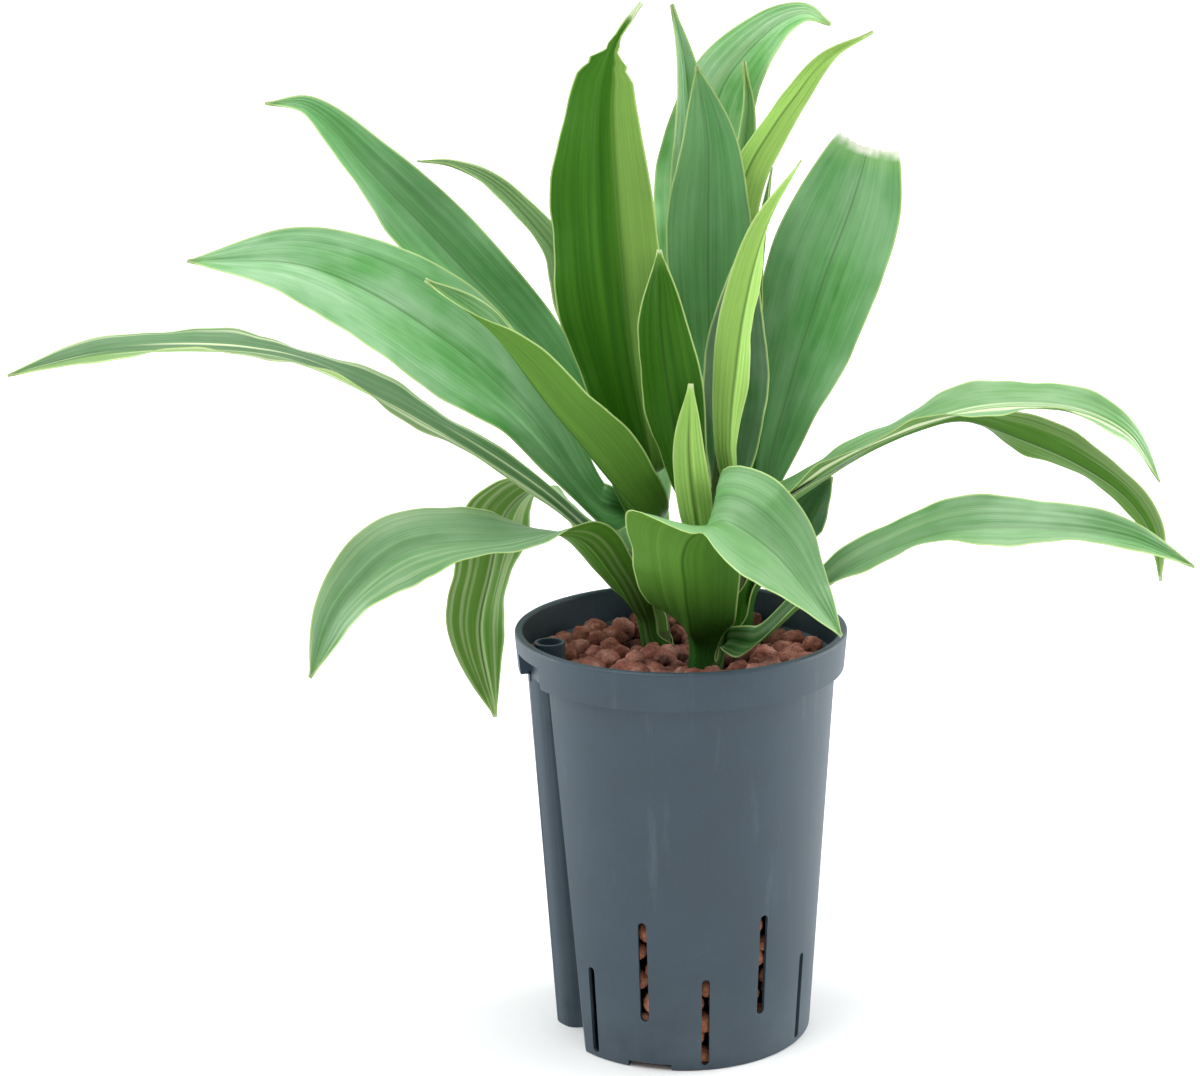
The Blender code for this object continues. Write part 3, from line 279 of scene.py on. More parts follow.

# Each leaf: shoot, height and bearing of its base, the points its midrib passes through (mm),
# the way its upper face looks near the base, at the middle and at the tip, its greatest width,
# where along it that width comes, the angle that each half folds up, its edge waves (height,
# count and phase), and its finish: how yellow its left and right halves are (its own yellow,
# with painted glow of light through the blade), how strong its painted blue-green sheen is
# (0 to 1) and how light it is (its own lightness, with painted light and shade). Some also have
# cream stripes, a base that wraps or shades more or less than usual, a midrib off the middle, or
# a tip that is cut or has snapped and dried.
USUAL_LEAF = dict(pale=(0.0, 0.0), painted_sheen=0.0, tone=1.0, stripes=0.0, shade=0.6, shade_reach=0.2,
                  rib=0.0, wrap=50)
LEAVES = {
    "far_left": dict(
        stem="left", height=206, bearing=-85,
        route=[(-37, 28, 223), (-63, 22, 247), (-103, 12, 277), (-136, 6, 298), (-171, 0, 315),
               (-210, -6, 321), (-251, -12, 320), (-293, -20, 311)],
        facing=[(0.3, -0.3, 1), (0.1, 0, 1), (0, -0.6, 1)],
        width=36, widest=0.62, fold=15, wave=(2.5, 4.5, 0.0),
        pale=(0.9, 0.1), painted_sheen=0.5, tone=0.7, stripes=1.0),
    "broad_left": dict(
        stem="left", height=228, bearing=-90,
        route=[(-36, 18, 242), (-67, 0, 290), (-106, -12, 328), (-159, -15, 357),
               (-213, -10, 359)],
        facing=[(0.4, -0.8, 0.7), (0.1, -1, 0.6), (0, -0.8, 0.8)],
        width=52, widest=0.55, fold=12, wave=(2.5, 3.5, 1.0),
        painted_sheen=0.8, tone=1.32),
    "upper_left": dict(
        stem="left", height=248, bearing=-119,
        route=[(-36, 42, 265), (-62, 50, 307), (-98, 52, 347), (-138, 50, 391), (-164, 46, 419),
               (-184, 42, 422)],
        facing=[(0.5, -1, 0.3), (0.4, -1, 0.4), (0.2, -0.6, 0.8)],
        width=37, widest=0.55, fold=22, wave=(2.0, 4.0, 2.0),
        painted_sheen=0.35, tone=1.15, shade=0.1),
    "small_left": dict(
        stem="left", height=238, bearing=-153,
        route=[(-34, 60, 272), (-45, 68, 314), (-54, 74, 343), (-68, 77, 363), (-86, 78, 381),
               (-104, 78, 390), (-120, 76, 392)],
        facing=[(0.4, -1, 0.3), (0.5, -0.5, 0.7), (0.2, -0.2, 1)],
        width=25, widest=0.5, fold=26, wave=(1.5, 3.5, 0.5),
        pale=(0.6, 0.6), tone=0.55),
    "tall_left": dict(
        stem="left", height=244, bearing=2,
        route=[(-17, 14, 261), (-28, 6, 317), (-33, 2, 369), (-33, 0, 421), (-27, 2, 448),
               (-15, 4, 466)],
        facing=[(0.1, 1, 0.1), (0.2, 1, 0.1), (0.3, 1, 0.3)],
        width=50, widest=0.5, fold=14, wave=(2.5, 4.0, 0.0),
        pale=(0.48, 0.0), tone=0.8, rib=-0.35, snapped=0.955, shade=0.35),
    "folded_left": dict(
        stem="left", height=218, bearing=20,
        route=[(-17, 4, 245), (-29, -10, 267), (-50, -24, 297), (-76, -34, 332),
               (-107, -38, 354)],
        facing=[(0.8, 1, 0.4), (0.4, 0.4, 1), (0, -0.8, 1)],
        width=42, widest=0.4, fold=38, wave=(2.0, 3.0, 1.0),
        pale=(0.2, 0.15), tone=0.88, stripes=0.1, shade=0.4),
    "drooping_left": dict(
        stem="left", height=180, bearing=-40,
        route=[(-29, 4, 214), (-45, -14, 237), (-76, -34, 241), (-118, -48, 239),
               (-146, -54, 216), (-161, -54, 183)],
        facing=[(-0.2, 0.3, 1), (0, -0.7, 0.9), (-0.6, -1, 0.2)],
        width=40, widest=0.62, fold=14, wave=(2.5, 4.0, 0.5),
        pale=(0.1, 0.1), painted_sheen=0.6, tone=0.86, stripes=0.15),
    "hanging_left": dict(
        stem="left", height=186, bearing=-138,
        route=[(-38, 58, 211), (-66, 82, 237), (-84, 90, 224), (-94, 95, 191), (-99, 94, 161),
               (-91, 88, 119)],
        facing=[(0, 0.4, 1), (-0.7, 0.8, 0.4), (-0.4, 1, 0)],
        width=42, widest=0.6, fold=12, wave=(2.5, 4.0, 1.5),
        pale=(0.25, 0.2), painted_sheen=0.2, tone=0.82, stripes=0.3),
    "front_folded": dict(
        stem="front", height=178, bearing=-32,
        route=[(4, -27, 207), (2, -37, 225), (2, -45, 241), (7, -52, 253), (18, -57, 257),
               (30, -61, 250), (43, -62, 239), (56, -61, 221), (69, -59, 202)],
        facing=[(0, 1, 0.9), (0.35, -0.9, 0.6), (0.9, -0.6, 0.3)],
        width=58, widest=0.45, fold=22, wave=(3.0, 3.5, 0.0), wrap=66, neck=19,
        pale=(0.1, 0.15), painted_sheen=0.6, tone=1.05, shade=0.9, shade_reach=0.36),
    "lower_right": dict(
        stem="front", height=178, bearing=80,
        route=[(32, -22, 189), (53, -34, 212), (79, -44, 233), (113, -52, 248), (156, -58, 250),
               (190, -60, 245), (218, -60, 232)],
        facing=[(-0.4, -0.2, 1), (0, -0.5, 1), (0.2, -0.6, 0.8)],
        width=33, widest=0.58, fold=20, wave=(2.0, 4.0, 0.0), wrap=40,
        pale=(0.1, 0.1), painted_sheen=0.8, stripes=0.1, shade=0.85, shade_reach=0.7),
    "arched_right": dict(
        stem="front", height=212, bearing=141,
        route=[(30, 14, 235), (54, 18, 252), (85, 16, 271), (128, 10, 288), (168, 4, 290),
               (197, 0, 278), (212, -4, 256)],
        facing=[(-0.4, 0.2, 1), (0, -0.2, 1), (0.6, -0.4, 0.7)],
        width=38, widest=0.62, fold=18, wave=(2.5, 4.0, 0.5),
        pale=(0.2, 0.15), painted_sheen=0.8, stripes=0.9, shade=0.2),
    "under_right": dict(
        stem="front", height=200, bearing=94,
        route=[(34, 8, 232), (60, 26, 249), (86, 41, 262), (111, 45, 272), (130, 40, 277),
               (154, 28, 271), (180, 22, 260), (201, 14, 246), (212, 8, 230), (215, 2, 209)],
        facing=[(-0.4, 0.2, 1), (0.3, 0.8, 1), (1, 0.6, 0.3)],
        width=34, widest=0.66, fold=10, wave=(2.0, 4.0, 2.0),
        pale=(0.2, 0.1), painted_sheen=0.3, tone=0.9, stripes=0.2),
    "short_right": dict(
        stem="back", height=190, bearing=96,
        route=[(45, 44, 211), (60, 56, 228), (71, 64, 244)],
        facing=[(-1, -0.5, 0.6), (-0.4, -0.8, 0.6), (-0.2, -0.6, 0.8)],
        width=28, widest=0.55, fold=24, wave=(1.0, 2.5, 0.0),
        tone=0.6),
    "cut_right": dict(
        stem="back", height=208, bearing=96,
        route=[(40, 48, 251), (53, 60, 296), (68, 64, 342), (80, 64, 375), (87, 62, 400)],
        facing=[(-0.8, -1, 0.2), (-0.3, -1, 0.3), (-0.2, -1, 0.3)],
        width=56, widest=0.72, fold=10, wave=(1.5, 3.0, 0.5), cut_width=30,
        painted_sheen=0.5, tone=1.38, shade=0.1),
    "pale_right": dict(
        stem="back", height=246, bearing=176,
        route=[(20, 62, 300), (22, 66, 330), (28, 68, 369), (34, 70, 388), (44, 72, 405),
               (54, 74, 419), (69, 76, 437), (89, 76, 448)],
        facing=[(0.3, 1, 0.2), (0.6, 0.8, 0.4), (0.6, 0.4, 0.8)],
        width=20, widest=0.5, fold=24, wave=(1.5, 4.0, 1.0),
        pale=(0.8, 0.65), tone=0.9),
    "sliver_right": dict(
        stem="back", height=260, bearing=80,
        route=[(35, 38, 297), (36, 44, 341), (39, 48, 369), (42, 50, 390)],
        facing=[(-1, -0.3, 0.2), (-1, -0.4, 0.2), (-1, -0.2, 0.4)],
        width=16, widest=0.5, fold=20, wave=(0.8, 3.0, 0.0),
        painted_sheen=0.2, tone=0.7),
    "pale_front": dict(
        stem="front", height=252, bearing=40,
        route=[(21, -8, 275), (23, -11, 304), (27, -12, 337), (37, -8, 373), (53, 4, 398)],
        facing=[(-0.3, 1, 0.1), (-0.6, 1, 0.2), (-0.6, 0.4, 0.8)],
        width=20, widest=0.45, fold=30, wave=(1.0, 3.0, 0.0),
        pale=(0.85, 0.75), tone=0.9),
    "sheen_right": dict(
        stem="front", height=236, bearing=150,
        route=[(23, 12, 261), (25, 18, 294), (27, 22, 330), (31, 26, 362)],
        facing=[(-0.2, -1, 0.1), (0, -1, 0.1), (0, -1, 0.2)],
        width=32, widest=0.45, fold=22, wave=(1.5, 3.0, 0.0),
        painted_sheen=0.8, tone=0.6),
    "dark_centre": dict(
        stem="front", height=226, bearing=-58,
        route=[(3, -14, 261), (-3, -22, 299), (-7, -24, 330), (-8, -20, 363)],
        facing=[(0.3, 1, 0.2), (0.2, 1, 0.1), (0.2, 1, 0.2)],
        width=30, widest=0.58, fold=24, wave=(1.5, 3.0, 1.0),
        painted_sheen=0.1, tone=0.68, shade=0.0),
    "spear_front": dict(
        stem="front", height=212, bearing=-20,
        route=[(7, -26, 248), (4, -30, 278), (5, -32, 307)],
        facing=[(0.1, 1, 0.2), (0, 1, 0.2), (0, 1, 0.2)],
        width=17, widest=0.55, fold=26, wave=(0.6, 2.0, 0.0),
        pale=(0.85, 0.75), tone=0.9),
    "upright_centre": dict(
        stem="back", height=262, bearing=-112,
        route=[(15, 46, 287), (14, 54, 327), (14, 57, 368), (14, 56, 402), (9, 52, 435)],
        facing=[(0.1, -1, 0.1), (0.1, -1, 0.1), (0.1, -1, 0.1)],
        width=41, widest=0.52, fold=14, wave=(1.5, 3.0, 0.0),
        pale=(0.05, 0.0), painted_sheen=0.25, tone=1.25, shade=0.1),
    "slim_back": dict(
        stem="back", height=243, bearing=-138,
        route=[(12, 62, 281), (8, 76, 331), (7, 82, 376), (6, 84, 413), (4, 83, 435),
               (-2, 80, 461)],
        facing=[(0.2, -1, 0.2), (0.2, -1, 0.1), (0.4, -1, 0.1)],
        width=25, widest=0.45, fold=18, wave=(1.5, 3.0, 0.0),
        pale=(0.1, 0.1), painted_sheen=1.0, tone=1.3),
    "arched_back": dict(
        stem="back", height=226, bearing=-136,
        route=[(10, 78, 268), (9, 96, 332), (12, 108, 385), (22, 110, 422), (43, 108, 447),
               (59, 104, 455), (71, 98, 450)],
        facing=[(0.1, -1, 0.3), (0.1, -1, 0.2), (-0.2, -1, 0.5)],
        width=45, widest=0.55, fold=12, wave=(3.0, 4.5, 0.5),
        pale=(0.1, 0.1), painted_sheen=1.0, tone=1.5, stripes=0.15),
    "spike_back": dict(
        stem="back", height=235, bearing=-174,
        route=[(17, 68, 280), (21, 82, 311), (28, 88, 371), (33, 90, 412), (31, 90, 434)],
        facing=[(0.2, -1, 0.2), (0.2, -1, 0.1), (0.2, -1, 0.1)],
        width=20, widest=0.4, fold=24, wave=(1.0, 3.0, 0.0),
        pale=(0.4, 0.3)),
    "rear_left": dict(
        stem="left", height=216, bearing=170,
        route=[(-16, 80, 266), (-25, 130, 308), (-31, 180, 317), (-35, 228, 291)],
        facing=[(0, -0.8, 1), (0, 0.2, 1), (0, 0.8, 0.6)],
        width=42, widest=0.55, fold=16, wave=(2.5, 4.0, 0.5),
        pale=(0.1, 0.15), painted_sheen=0.5, tone=1.1),
    "rear_right": dict(
        stem="back", height=202, bearing=-164,
        route=[(29, 72, 223), (35, 108, 252), (41, 150, 258), (45, 196, 227)],
        facing=[(0, -0.6, 1), (0, 0.2, 1), (0, 1, 0.5)],
        width=40, widest=0.55, fold=16, wave=(2.5, 4.0, 1.5),
        pale=(0.15, 0.1), painted_sheen=0.5, tone=1.1),
    "rear_low": dict(
        stem="left", height=178, bearing=-172,
        route=[(-16, 66, 197), (-22, 96, 218), (-28, 134, 212), (-30, 168, 176)],
        facing=[(0, -0.4, 1), (0, 0.3, 1), (0, 1, 0.3)],
        width=36, widest=0.55, fold=16, wave=(2.0, 3.5, 0.0),
        pale=(0.2, 0.1), painted_sheen=0.4),
}

YOUNG_LEAVES = {"pale_right", "pale_front", "spear_front", "hanging_left"}


def bearing(angle):
    """The level direction this many degrees to the right of the front."""
    turn = math.radians(angle)
    return Vector((math.sin(turn), -math.cos(turn), 0))


def at_bearing(angle, corners, height):
    """Points at this height from pairs of distances outwards and sideways at this bearing."""
    out, side = bearing(angle), bearing(angle + 90)
    return [out * r + side * s + Vector((0, 0, height)) for r, s in corners]


def smooth_step(low, high, value):
    share = np.clip((value - low) / (high - low), 0, 1)
    return share * share * (3 - 2 * share)


class Tree:
    """A node tree in the making. A step's inputs are plain values or other steps' outputs."""

    def __init__(self, tree):
        self.tree = tree

    def give(self, sockets, values):
        for key, value in values.items():
            if isinstance(value, bpy.types.NodeSocket):
                self.tree.links.new(value, sockets[key])
            else:
                sockets[key].default_value = value

    def add(self, kind, inputs=None, **settings):
        step = self.tree.nodes.new(kind)
        for key, value in settings.items():
            setattr(step, key, value)
        self.give(step.inputs, inputs or {})
        return step

    def out(self, kind, inputs=None, output=0, **settings):
        """One output of a new step."""
        return self.add(kind, inputs, **settings).outputs[output]

    def math(self, operation, *values, clamp=False):
        inputs = dict(enumerate(values))
        return self.out("ShaderNodeMath", inputs, operation=operation, use_clamp=clamp)

    def times(self, first, *others):
        for value in others:
            first = self.math("MULTIPLY", first, value)
        return first

    def line(self, value, slope, start, clamp=False):
        return self.math("MULTIPLY_ADD", value, slope, start, clamp=clamp)

    def vector(self, operation, *values, output=0):
        inputs = dict(enumerate(values))
        return self.out("ShaderNodeVectorMath", inputs, output, operation=operation)

    def scaled(self, vector, size):
        inputs = {0: vector, "Scale": size}
        return self.out("ShaderNodeVectorMath", inputs, operation="SCALE")

    def between(self, value, low, high, at_low, at_high):
        """Goes from at_low to at_high as the value goes from low to high."""
        return self.out("ShaderNodeMapRange", {
            "Value": value, "From Min": low, "From Max": high,
            "To Min": at_low, "To Max": at_high})

    def shape(self, kind, geometry, inputs=None):
        """A Geometry Nodes step that works on a geometry."""
        return self.out("GeometryNode" + kind, {0: geometry, **(inputs or {})})


def geometry_tree(name, inputs):
    """A Geometry Nodes tree with a mesh going in and out, and these named sizes."""
    tree = bpy.data.node_groups.new(name, "GeometryNodeTree")
    sockets = [("Geometry", "Geometry", "INPUT"), ("Geometry", "Geometry", "OUTPUT")]
    sockets += [(label, kind, "INPUT") for label, kind in inputs.items()]
    for label, kind, way in sockets:
        tree.interface.new_socket(label, in_out=way, socket_type="NodeSocket" + kind)
    given = tree.nodes.new("NodeGroupInput").outputs
    return Tree(tree), given, tree.nodes.new("NodeGroupOutput").inputs


def new_object(name, mesh):
    made = bpy.data.objects.new(name, mesh)
    bpy.context.scene.collection.objects.link(made)
    return made


def plain_mesh(item, name):
    """What an object's modifiers make of it, as a mesh of its own. The object goes."""
    graph = bpy.context.evaluated_depsgraph_get()
    made = bpy.data.meshes.new_from_object(item.evaluated_get(graph))
    bpy.data.objects.remove(item, do_unlink=True)
    made.name = name
    return made


def worked_mesh(name, mesh, steps, values):
    """The plain mesh that a Geometry Nodes tree makes of a mesh, with these input values."""
    item = new_object(name, mesh)
    step = item.modifiers.new(steps.tree.name, "NODES")
    step.node_group = steps.tree
    for socket in steps.tree.interface.items_tree:
        if socket.in_out == "INPUT" and socket.name in values:
            step[socket.identifier] = values[socket.name]
    return plain_mesh(item, name)


def add_piece(name, mesh, slot, *nodes):
    """A finished piece that stands for these nodes of the frame."""
    piece = new_object(name, mesh)
    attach(piece, "root")
    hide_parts(*nodes)


# Finishes

def new_finish(name, colour):
    """A material, its tree and its shader's inputs. The colour is for plain views."""
    made = bpy.data.materials.new(name)
    made.use_nodes = True
    made.diffuse_color = (*colour, 1)
    return made, Tree(made.node_tree), made.node_tree.nodes["Principled BSDF"].inputs


def ramp(steps, value, stops):
    step = steps.add("ShaderNodeValToRGB", {"Fac": value})
    band = step.color_ramp
    while len(band.elements) < len(stops):
        band.elements.new(0.5)
    for element, (place, colour) in zip(band.elements, stops):
        element.position = place
        element.color = (*colour, 1)
    return step.outputs[0]


def mixed(steps, share, first, second, blend="MIX"):
    inputs = {0: share, 6: first, 7: second}
    for key, value in inputs.items():
        if isinstance(value, tuple):
            inputs[key] = (*value, 1)
    return steps.out("ShaderNodeMix", inputs, 2, data_type="RGBA", blend_type=blend)


def tinted(steps, share, body, value, stops):
    """A body multiplied by the colours that a value picks from these stops."""
    return mixed(steps, share, body, ramp(steps, value, stops), "MULTIPLY")


def noise(steps, place, scale, detail, roughness):
    return steps.out("ShaderNodeTexNoise", {
        "Vector": place, "Scale": scale, "Detail": detail, "Roughness": roughness}, "Fac")


def drawn_noise(steps, place, stretch, detail, roughness):
    """Noise drawn out along some axes."""
    return noise(steps, steps.vector("MULTIPLY", place, stretch), 1.0, detail, roughness)


def attribute(steps, name, output="Fac"):
    return steps.out("ShaderNodeAttribute", output=output, attribute_name=name)


def object_place(steps):
    return steps.out("ShaderNodeTexCoord", output="Object")


def height_at(steps, place):
    return steps.out("ShaderNodeSeparateXYZ", {"Vector": place}, "Z")


def set_skin(steps, shader, colour, roughness, relief, depth, height):
    """Gives a shader its colour and roughness, and a relief of this strength and depth."""
    bump = steps.out("ShaderNodeBump", {"Strength": relief, "Distance": depth, "Height": height})
    steps.give(shader, {"Base Color": colour, "Roughness": roughness, "Normal": bump})


def blade_finish(name, deep, light, painted_sheen, yellow, rib_tone, gloss, shine, most_tone):
    """Waxy leaf skin: long parallel veins, a midrib line, cream stripes, a thin pale margin, and
    painted light: a blue-green sheen, glow through the blade, lightness for lit leaves, and shade
    for shaded leaves and at the bases.
    """
    made, steps, shader = new_finish(name, deep)
    grain = attribute(steps, "grain", "Vector")
    streaks = drawn_noise(steps, grain, STREAKS, 3.0, 0.6)
    fibres = drawn_noise(steps, grain, FIBRES, 2.0, 0.5)
    clouds = drawn_noise(steps, grain, CLOUDS, 3.0, 0.6)
    bands = drawn_noise(steps, grain, BANDS, 2.0, 0.5)
    body = ramp(steps, streaks, [(0.28, deep), (0.72, light)])
    # A painted sheen: patches of reflected blue-green light mixed into the skin's colour.
    sheen = steps.line(clouds, 3.2, -1.1, clamp=True)
    body = mixed(steps, steps.times(attribute(steps, "painted_sheen"), sheen), body, painted_sheen)
    # Paler yellow: the blade's own yellow, with painted glow where light shines through the blade.
    body = mixed(steps, attribute(steps, "pale"), body, yellow)
    # Lightness: the leaf's own tone, with painted light for lit leaves and painted shade for
    # shaded ones.
    tone = steps.math("MINIMUM", attribute(steps, "tone"), most_tone)
    tone = steps.out("ShaderNodeCombineXYZ", {"X": tone, "Y": tone, "Z": tone})
    body = mixed(steps, 1.0, body, tone, "MULTIPLY")
    body = tinted(steps, 0.7, body, fibres, [
        (0.34, (0.80, 0.85, 0.76)), (0.64, (1.06, 1.05, 1.02))])
    body = mixed(steps, attribute(steps, "shade"), body, LEAF_SHADE)
    striped = steps.line(bands, 12.0, -6.5, clamp=True)
    striped = steps.times(striped, attribute(steps, "stripes"))
    body = mixed(steps, striped, body, LEAF_STRIPE)

    midrib = steps.between(attribute(steps, "rib"), *MIDRIB_LINE, 0.55, 0.0)
    body = mixed(steps, midrib, body, rib_tone)
    inward = steps.math("SUBTRACT", 1.0, steps.math("ABSOLUTE", attribute(steps, "part")))
    from_edge = steps.times(inward, attribute(steps, "half"))
    body = mixed(steps, steps.between(from_edge, *MARGIN_LINE, 0.8, 0.0), body, LEAF_MARGIN)
    dry = steps.times(attribute(steps, "dry"), steps.line(clouds, 1.2, 0.6, clamp=True))
    body = mixed(steps, dry, body, LEAF_DRY)

    rough = steps.between(clouds, 0.0, 1.0, gloss - 0.08, gloss + 0.12)
    height = steps.math("ADD", streaks, steps.times(fibres, 0.5))
    set_skin(steps, shader, body, rough, 0.6, 0.4 * MM, height)
    shader["Specular IOR Level"].default_value = shine
    return made


def plastic_finish():
    """Blue-grey moulded plastic: a matt skin, faintly clouded, with rubs and lime at the foot."""
    made, steps, shader = new_finish("pot_plastic", PLASTIC_PLAIN)
    place = object_place(steps)
    clouds = noise(steps, place, 26.0, 4.0, 0.6)
    specks = noise(steps, place, 900.0, 2.0, 0.6)
    rubs = drawn_noise(steps, place, (130, 130, 14), 4.0, 0.7)
    body = ramp(steps, clouds, [(0.30, PLASTIC_DEEP), (0.72, PLASTIC_LIGHT)])
    body = tinted(steps, 0.30, body, specks, [(0.35, (0.70, 0.72, 0.74)), (0.65, WHITE)])
    worn = ramp(steps, rubs, [(0.60, BLACK), (0.78, WHITE)])
    body = mixed(steps, steps.times(worn, 0.16), body, PLASTIC_RUBBED)
    foot = steps.between(height_at(steps, place), 45 * MM, 0.0, 0.0, 0.28)
    lime = steps.times(foot, steps.line(clouds, 2.4, -0.8, clamp=True))
    body = mixed(steps, lime, body, PLASTIC_LIME)
    rough = steps.between(clouds, 0.0, 1.0, 0.46, 0.62)
    set_skin(steps, shader, body, rough, 0.22, 0.08 * MM, specks)
    return made


def clay_finish(name, dark, mid, light, level=None):
    """Fired clay: a crumbly red-brown crust with open pores, darkened below its level by painted
    shade in the gaps between granules.
    """
    made, steps, shader = new_finish(name, mid)
    place = object_place(steps)
    lumps = noise(steps, place, 90.0, 3.0, 0.6)
    crust = noise(steps, place, 420.0, 5.0, 0.7)
    pores = steps.out("ShaderNodeTexVoronoi", {"Vector": place, "Scale": 620.0}, "Distance")
    body = ramp(steps, lumps, [(0.32, dark), (0.52, mid), (0.72, light)])
    body = tinted(steps, 0.6, body, crust, [(0.32, (0.35, 0.30, 0.28)), (0.66, (1.25, 1.2, 1.2))])
    body = tinted(steps, 0.5, body, pores, [(0.10, (0.25, 0.2, 0.2)), (0.32, WHITE)])
    if level:
        # Painted shade: the clay grows darker downwards into the gaps between the granules.
        up = height_at(steps, place)
        painted_shade = steps.between(up, level - 5 * MM, level + 4 * MM, 0.85, 0.0)
        body = mixed(steps, painted_shade, body, CLAY_PAINTED_SHADE)
    height = steps.math("ADD", crust, steps.times(pores, 0.5))
    set_skin(steps, shader, body, 0.94, 0.8, 0.7 * MM, height)
    shader["Specular IOR Level"].default_value = 0.25
    return made


def stem_finish():
    """Green shoot bark: smooth, with pale scar rings and darker lengthwise grain."""
    made, steps, shader = new_finish("green_stem", STEM_PLAIN)
    place = object_place(steps)
    grain = drawn_noise(steps, place, (700, 700, 40), 3.0, 0.6)
    rings = drawn_noise(steps, place, (30, 30, 260), 2.0, 0.5)
    body = ramp(steps, grain, [(0.3, STEM_DEEP), (0.7, STEM_LIGHT)])
    body = mixed(steps, steps.times(rings, 0.5), body, STEM_SCAR)
    set_skin(steps, shader, body, 0.55, 0.4, 0.3 * MM, rings)
    return made


def floor_finish():
    """A pale sweep that brightens away from the plant, as under broad studio lights."""
    made, steps, shader = new_finish("pale_floor", FLOOR_COLOURS[0])
    place = object_place(steps)
    clouds = noise(steps, place, 3.0, 3.0, 0.55)
    away = steps.vector("LENGTH", place, output="Value")
    steps.give(shader, {
        "Base Color": ramp(steps, clouds, list(zip((0.3, 0.7), FLOOR_COLOURS))),
        "Roughness": 0.9, "Emission Color": (*WHITE, 1),
        "Emission Strength": steps.between(away, *GLOW_REACH, 0.0, FLOOR_GLOW)})
    return made


# Solids

def finish_mesh(name, shape):
    bmesh.ops.recalc_face_normals(shape, faces=shape.faces)
    mesh = bpy.data.meshes.new(name)
    shape.to_mesh(mesh)
    shape.free()
    return mesh


def lathe(name, outline, sides):
    """An outline of (radius, height) corners turned round the upright axis."""
    shape = bmesh.new()
    corners = [shape.verts.new((radius, 0, height)) for radius, height in outline]
    edges = [shape.edges.new(pair) for pair in zip(corners, corners[1:])]
    bmesh.ops.spin(
        shape, geom=corners + edges, cent=(0, 0, 0), axis=(0, 0, 1),
        angle=math.tau, steps=sides, use_merge=True)
    bmesh.ops.remove_doubles(shape, verts=shape.verts, dist=0.01 * MM)
    return finish_mesh(name, shape)


def loft(name, loops):
    """A closed solid through loops that have the same number of points."""
    shape = bmesh.new()
    rings = [[shape.verts.new(point) for point in loop] for loop in loops]
    for low, high in zip(rings, rings[1:]):
        for i in range(len(low)):
            j = (i + 1) % len(low)
            shape.faces.new((low[i], low[j], high[j], high[i]))
    shape.faces.new(rings[0][::-1])
    shape.faces.new(rings[-1])
    return finish_mesh(name, shape)


def path_through(points, count):
    """Evenly spaced points along a smooth curve through the given ones, and its length."""
    points = np.array(points, float)
    ends = np.vstack([2 * points[0] - points[1], points, 2 * points[-1] - points[-2]])
    dense = []
    share = np.linspace(0, 1, 24, endpoint=False)[:, None]
    for before, start, end, after in zip(ends, ends[1:], ends[2:], ends[3:]):
        chord = np.linalg.norm(end - start)
        leave = (end - before) / (np.linalg.norm(start - before) + chord) * chord
        arrive = (after - start) / (np.linalg.norm(after - end) + chord) * chord
        dense.append(
            start * (2 * share**3 - 3 * share**2 + 1) + end * (3 * share**2 - 2 * share**3)
            + leave * (share**3 - 2 * share**2 + share) + arrive * (share**3 - share**2))
    dense = np.vstack(dense + [points[-1:]])
    run = np.concatenate([[0], np.cumsum(np.linalg.norm(np.diff(dense, axis=0), axis=1))])
    wanted = np.linspace(0, run[-1], count)
    return np.stack([np.interp(wanted, run, dense[:, k]) for k in range(3)], 1), run[-1]


def rounded(outline, rounds, steps=4):
    """An outline with some of its corners rounded: index of the corner to its radius."""
    made = []
    for i, point in enumerate(outline):
        if i not in rounds:
            made.append(point)
            continue
        here = np.array(point)
        before = np.array(outline[i - 1]) - here
        after = np.array(outline[i + 1]) - here
        before, after = before / np.linalg.norm(before), after / np.linalg.norm(after)
        reach = rounds[i] / math.tan(math.acos(np.clip(before @ after, -1, 1)) / 2)
        for k in range(steps + 1):
            t = k / steps
            made.append(tuple(here + (1 - t)**2 * before * reach + t**2 * after * reach))
    return made


# Pot

def wall_radius(height):
    return FOOT_RADIUS + (WALL_TOP_RADIUS - FOOT_RADIUS) * (height / UNDER_BAND)


def block(name, angle, radii, half, heights):
    """A box at this bearing, between two distances from the axis and two heights."""
    inner, outer = radii
    corners = [(inner, -half), (outer, -half), (outer, half), (inner, half)]
    return loft(name, [at_bearing(angle, corners, height) for height in heights])


def groove_solid(name, extra, low, high):
    """The groove's rounded space, or with extra the space that its wall fills as well."""
    loops = []
    for height in (low, high):
        share = height / GROOVE_TOP
        half = GROOVE_FOOT_HALF + (GROOVE_TOP_HALF - GROOVE_FOOT_HALF) * share
        mouth = math.sqrt(wall_radius(height)**2 - half**2)
        flank = [(mouth - depth, half * left, 0) for depth, left in GROOVE_SECTION]
        flank.append((wall_radius(height) - GROOVE_DEPTH, GROOVE_INNER_SHARE * half, 0))
        section = [(BEYOND_POT, half + extra)]
        for i, (r, s, _) in enumerate(path_through(flank, GROOVE_STEPS)[0]):
            section.append((r - extra * min(1, i / 3), s + extra))
        corners = [(r, -s) for r, s in section] + section[::-1]
        loops.append(at_bearing(GROOVE_ANGLE, corners, height))
    return loft(name, loops)


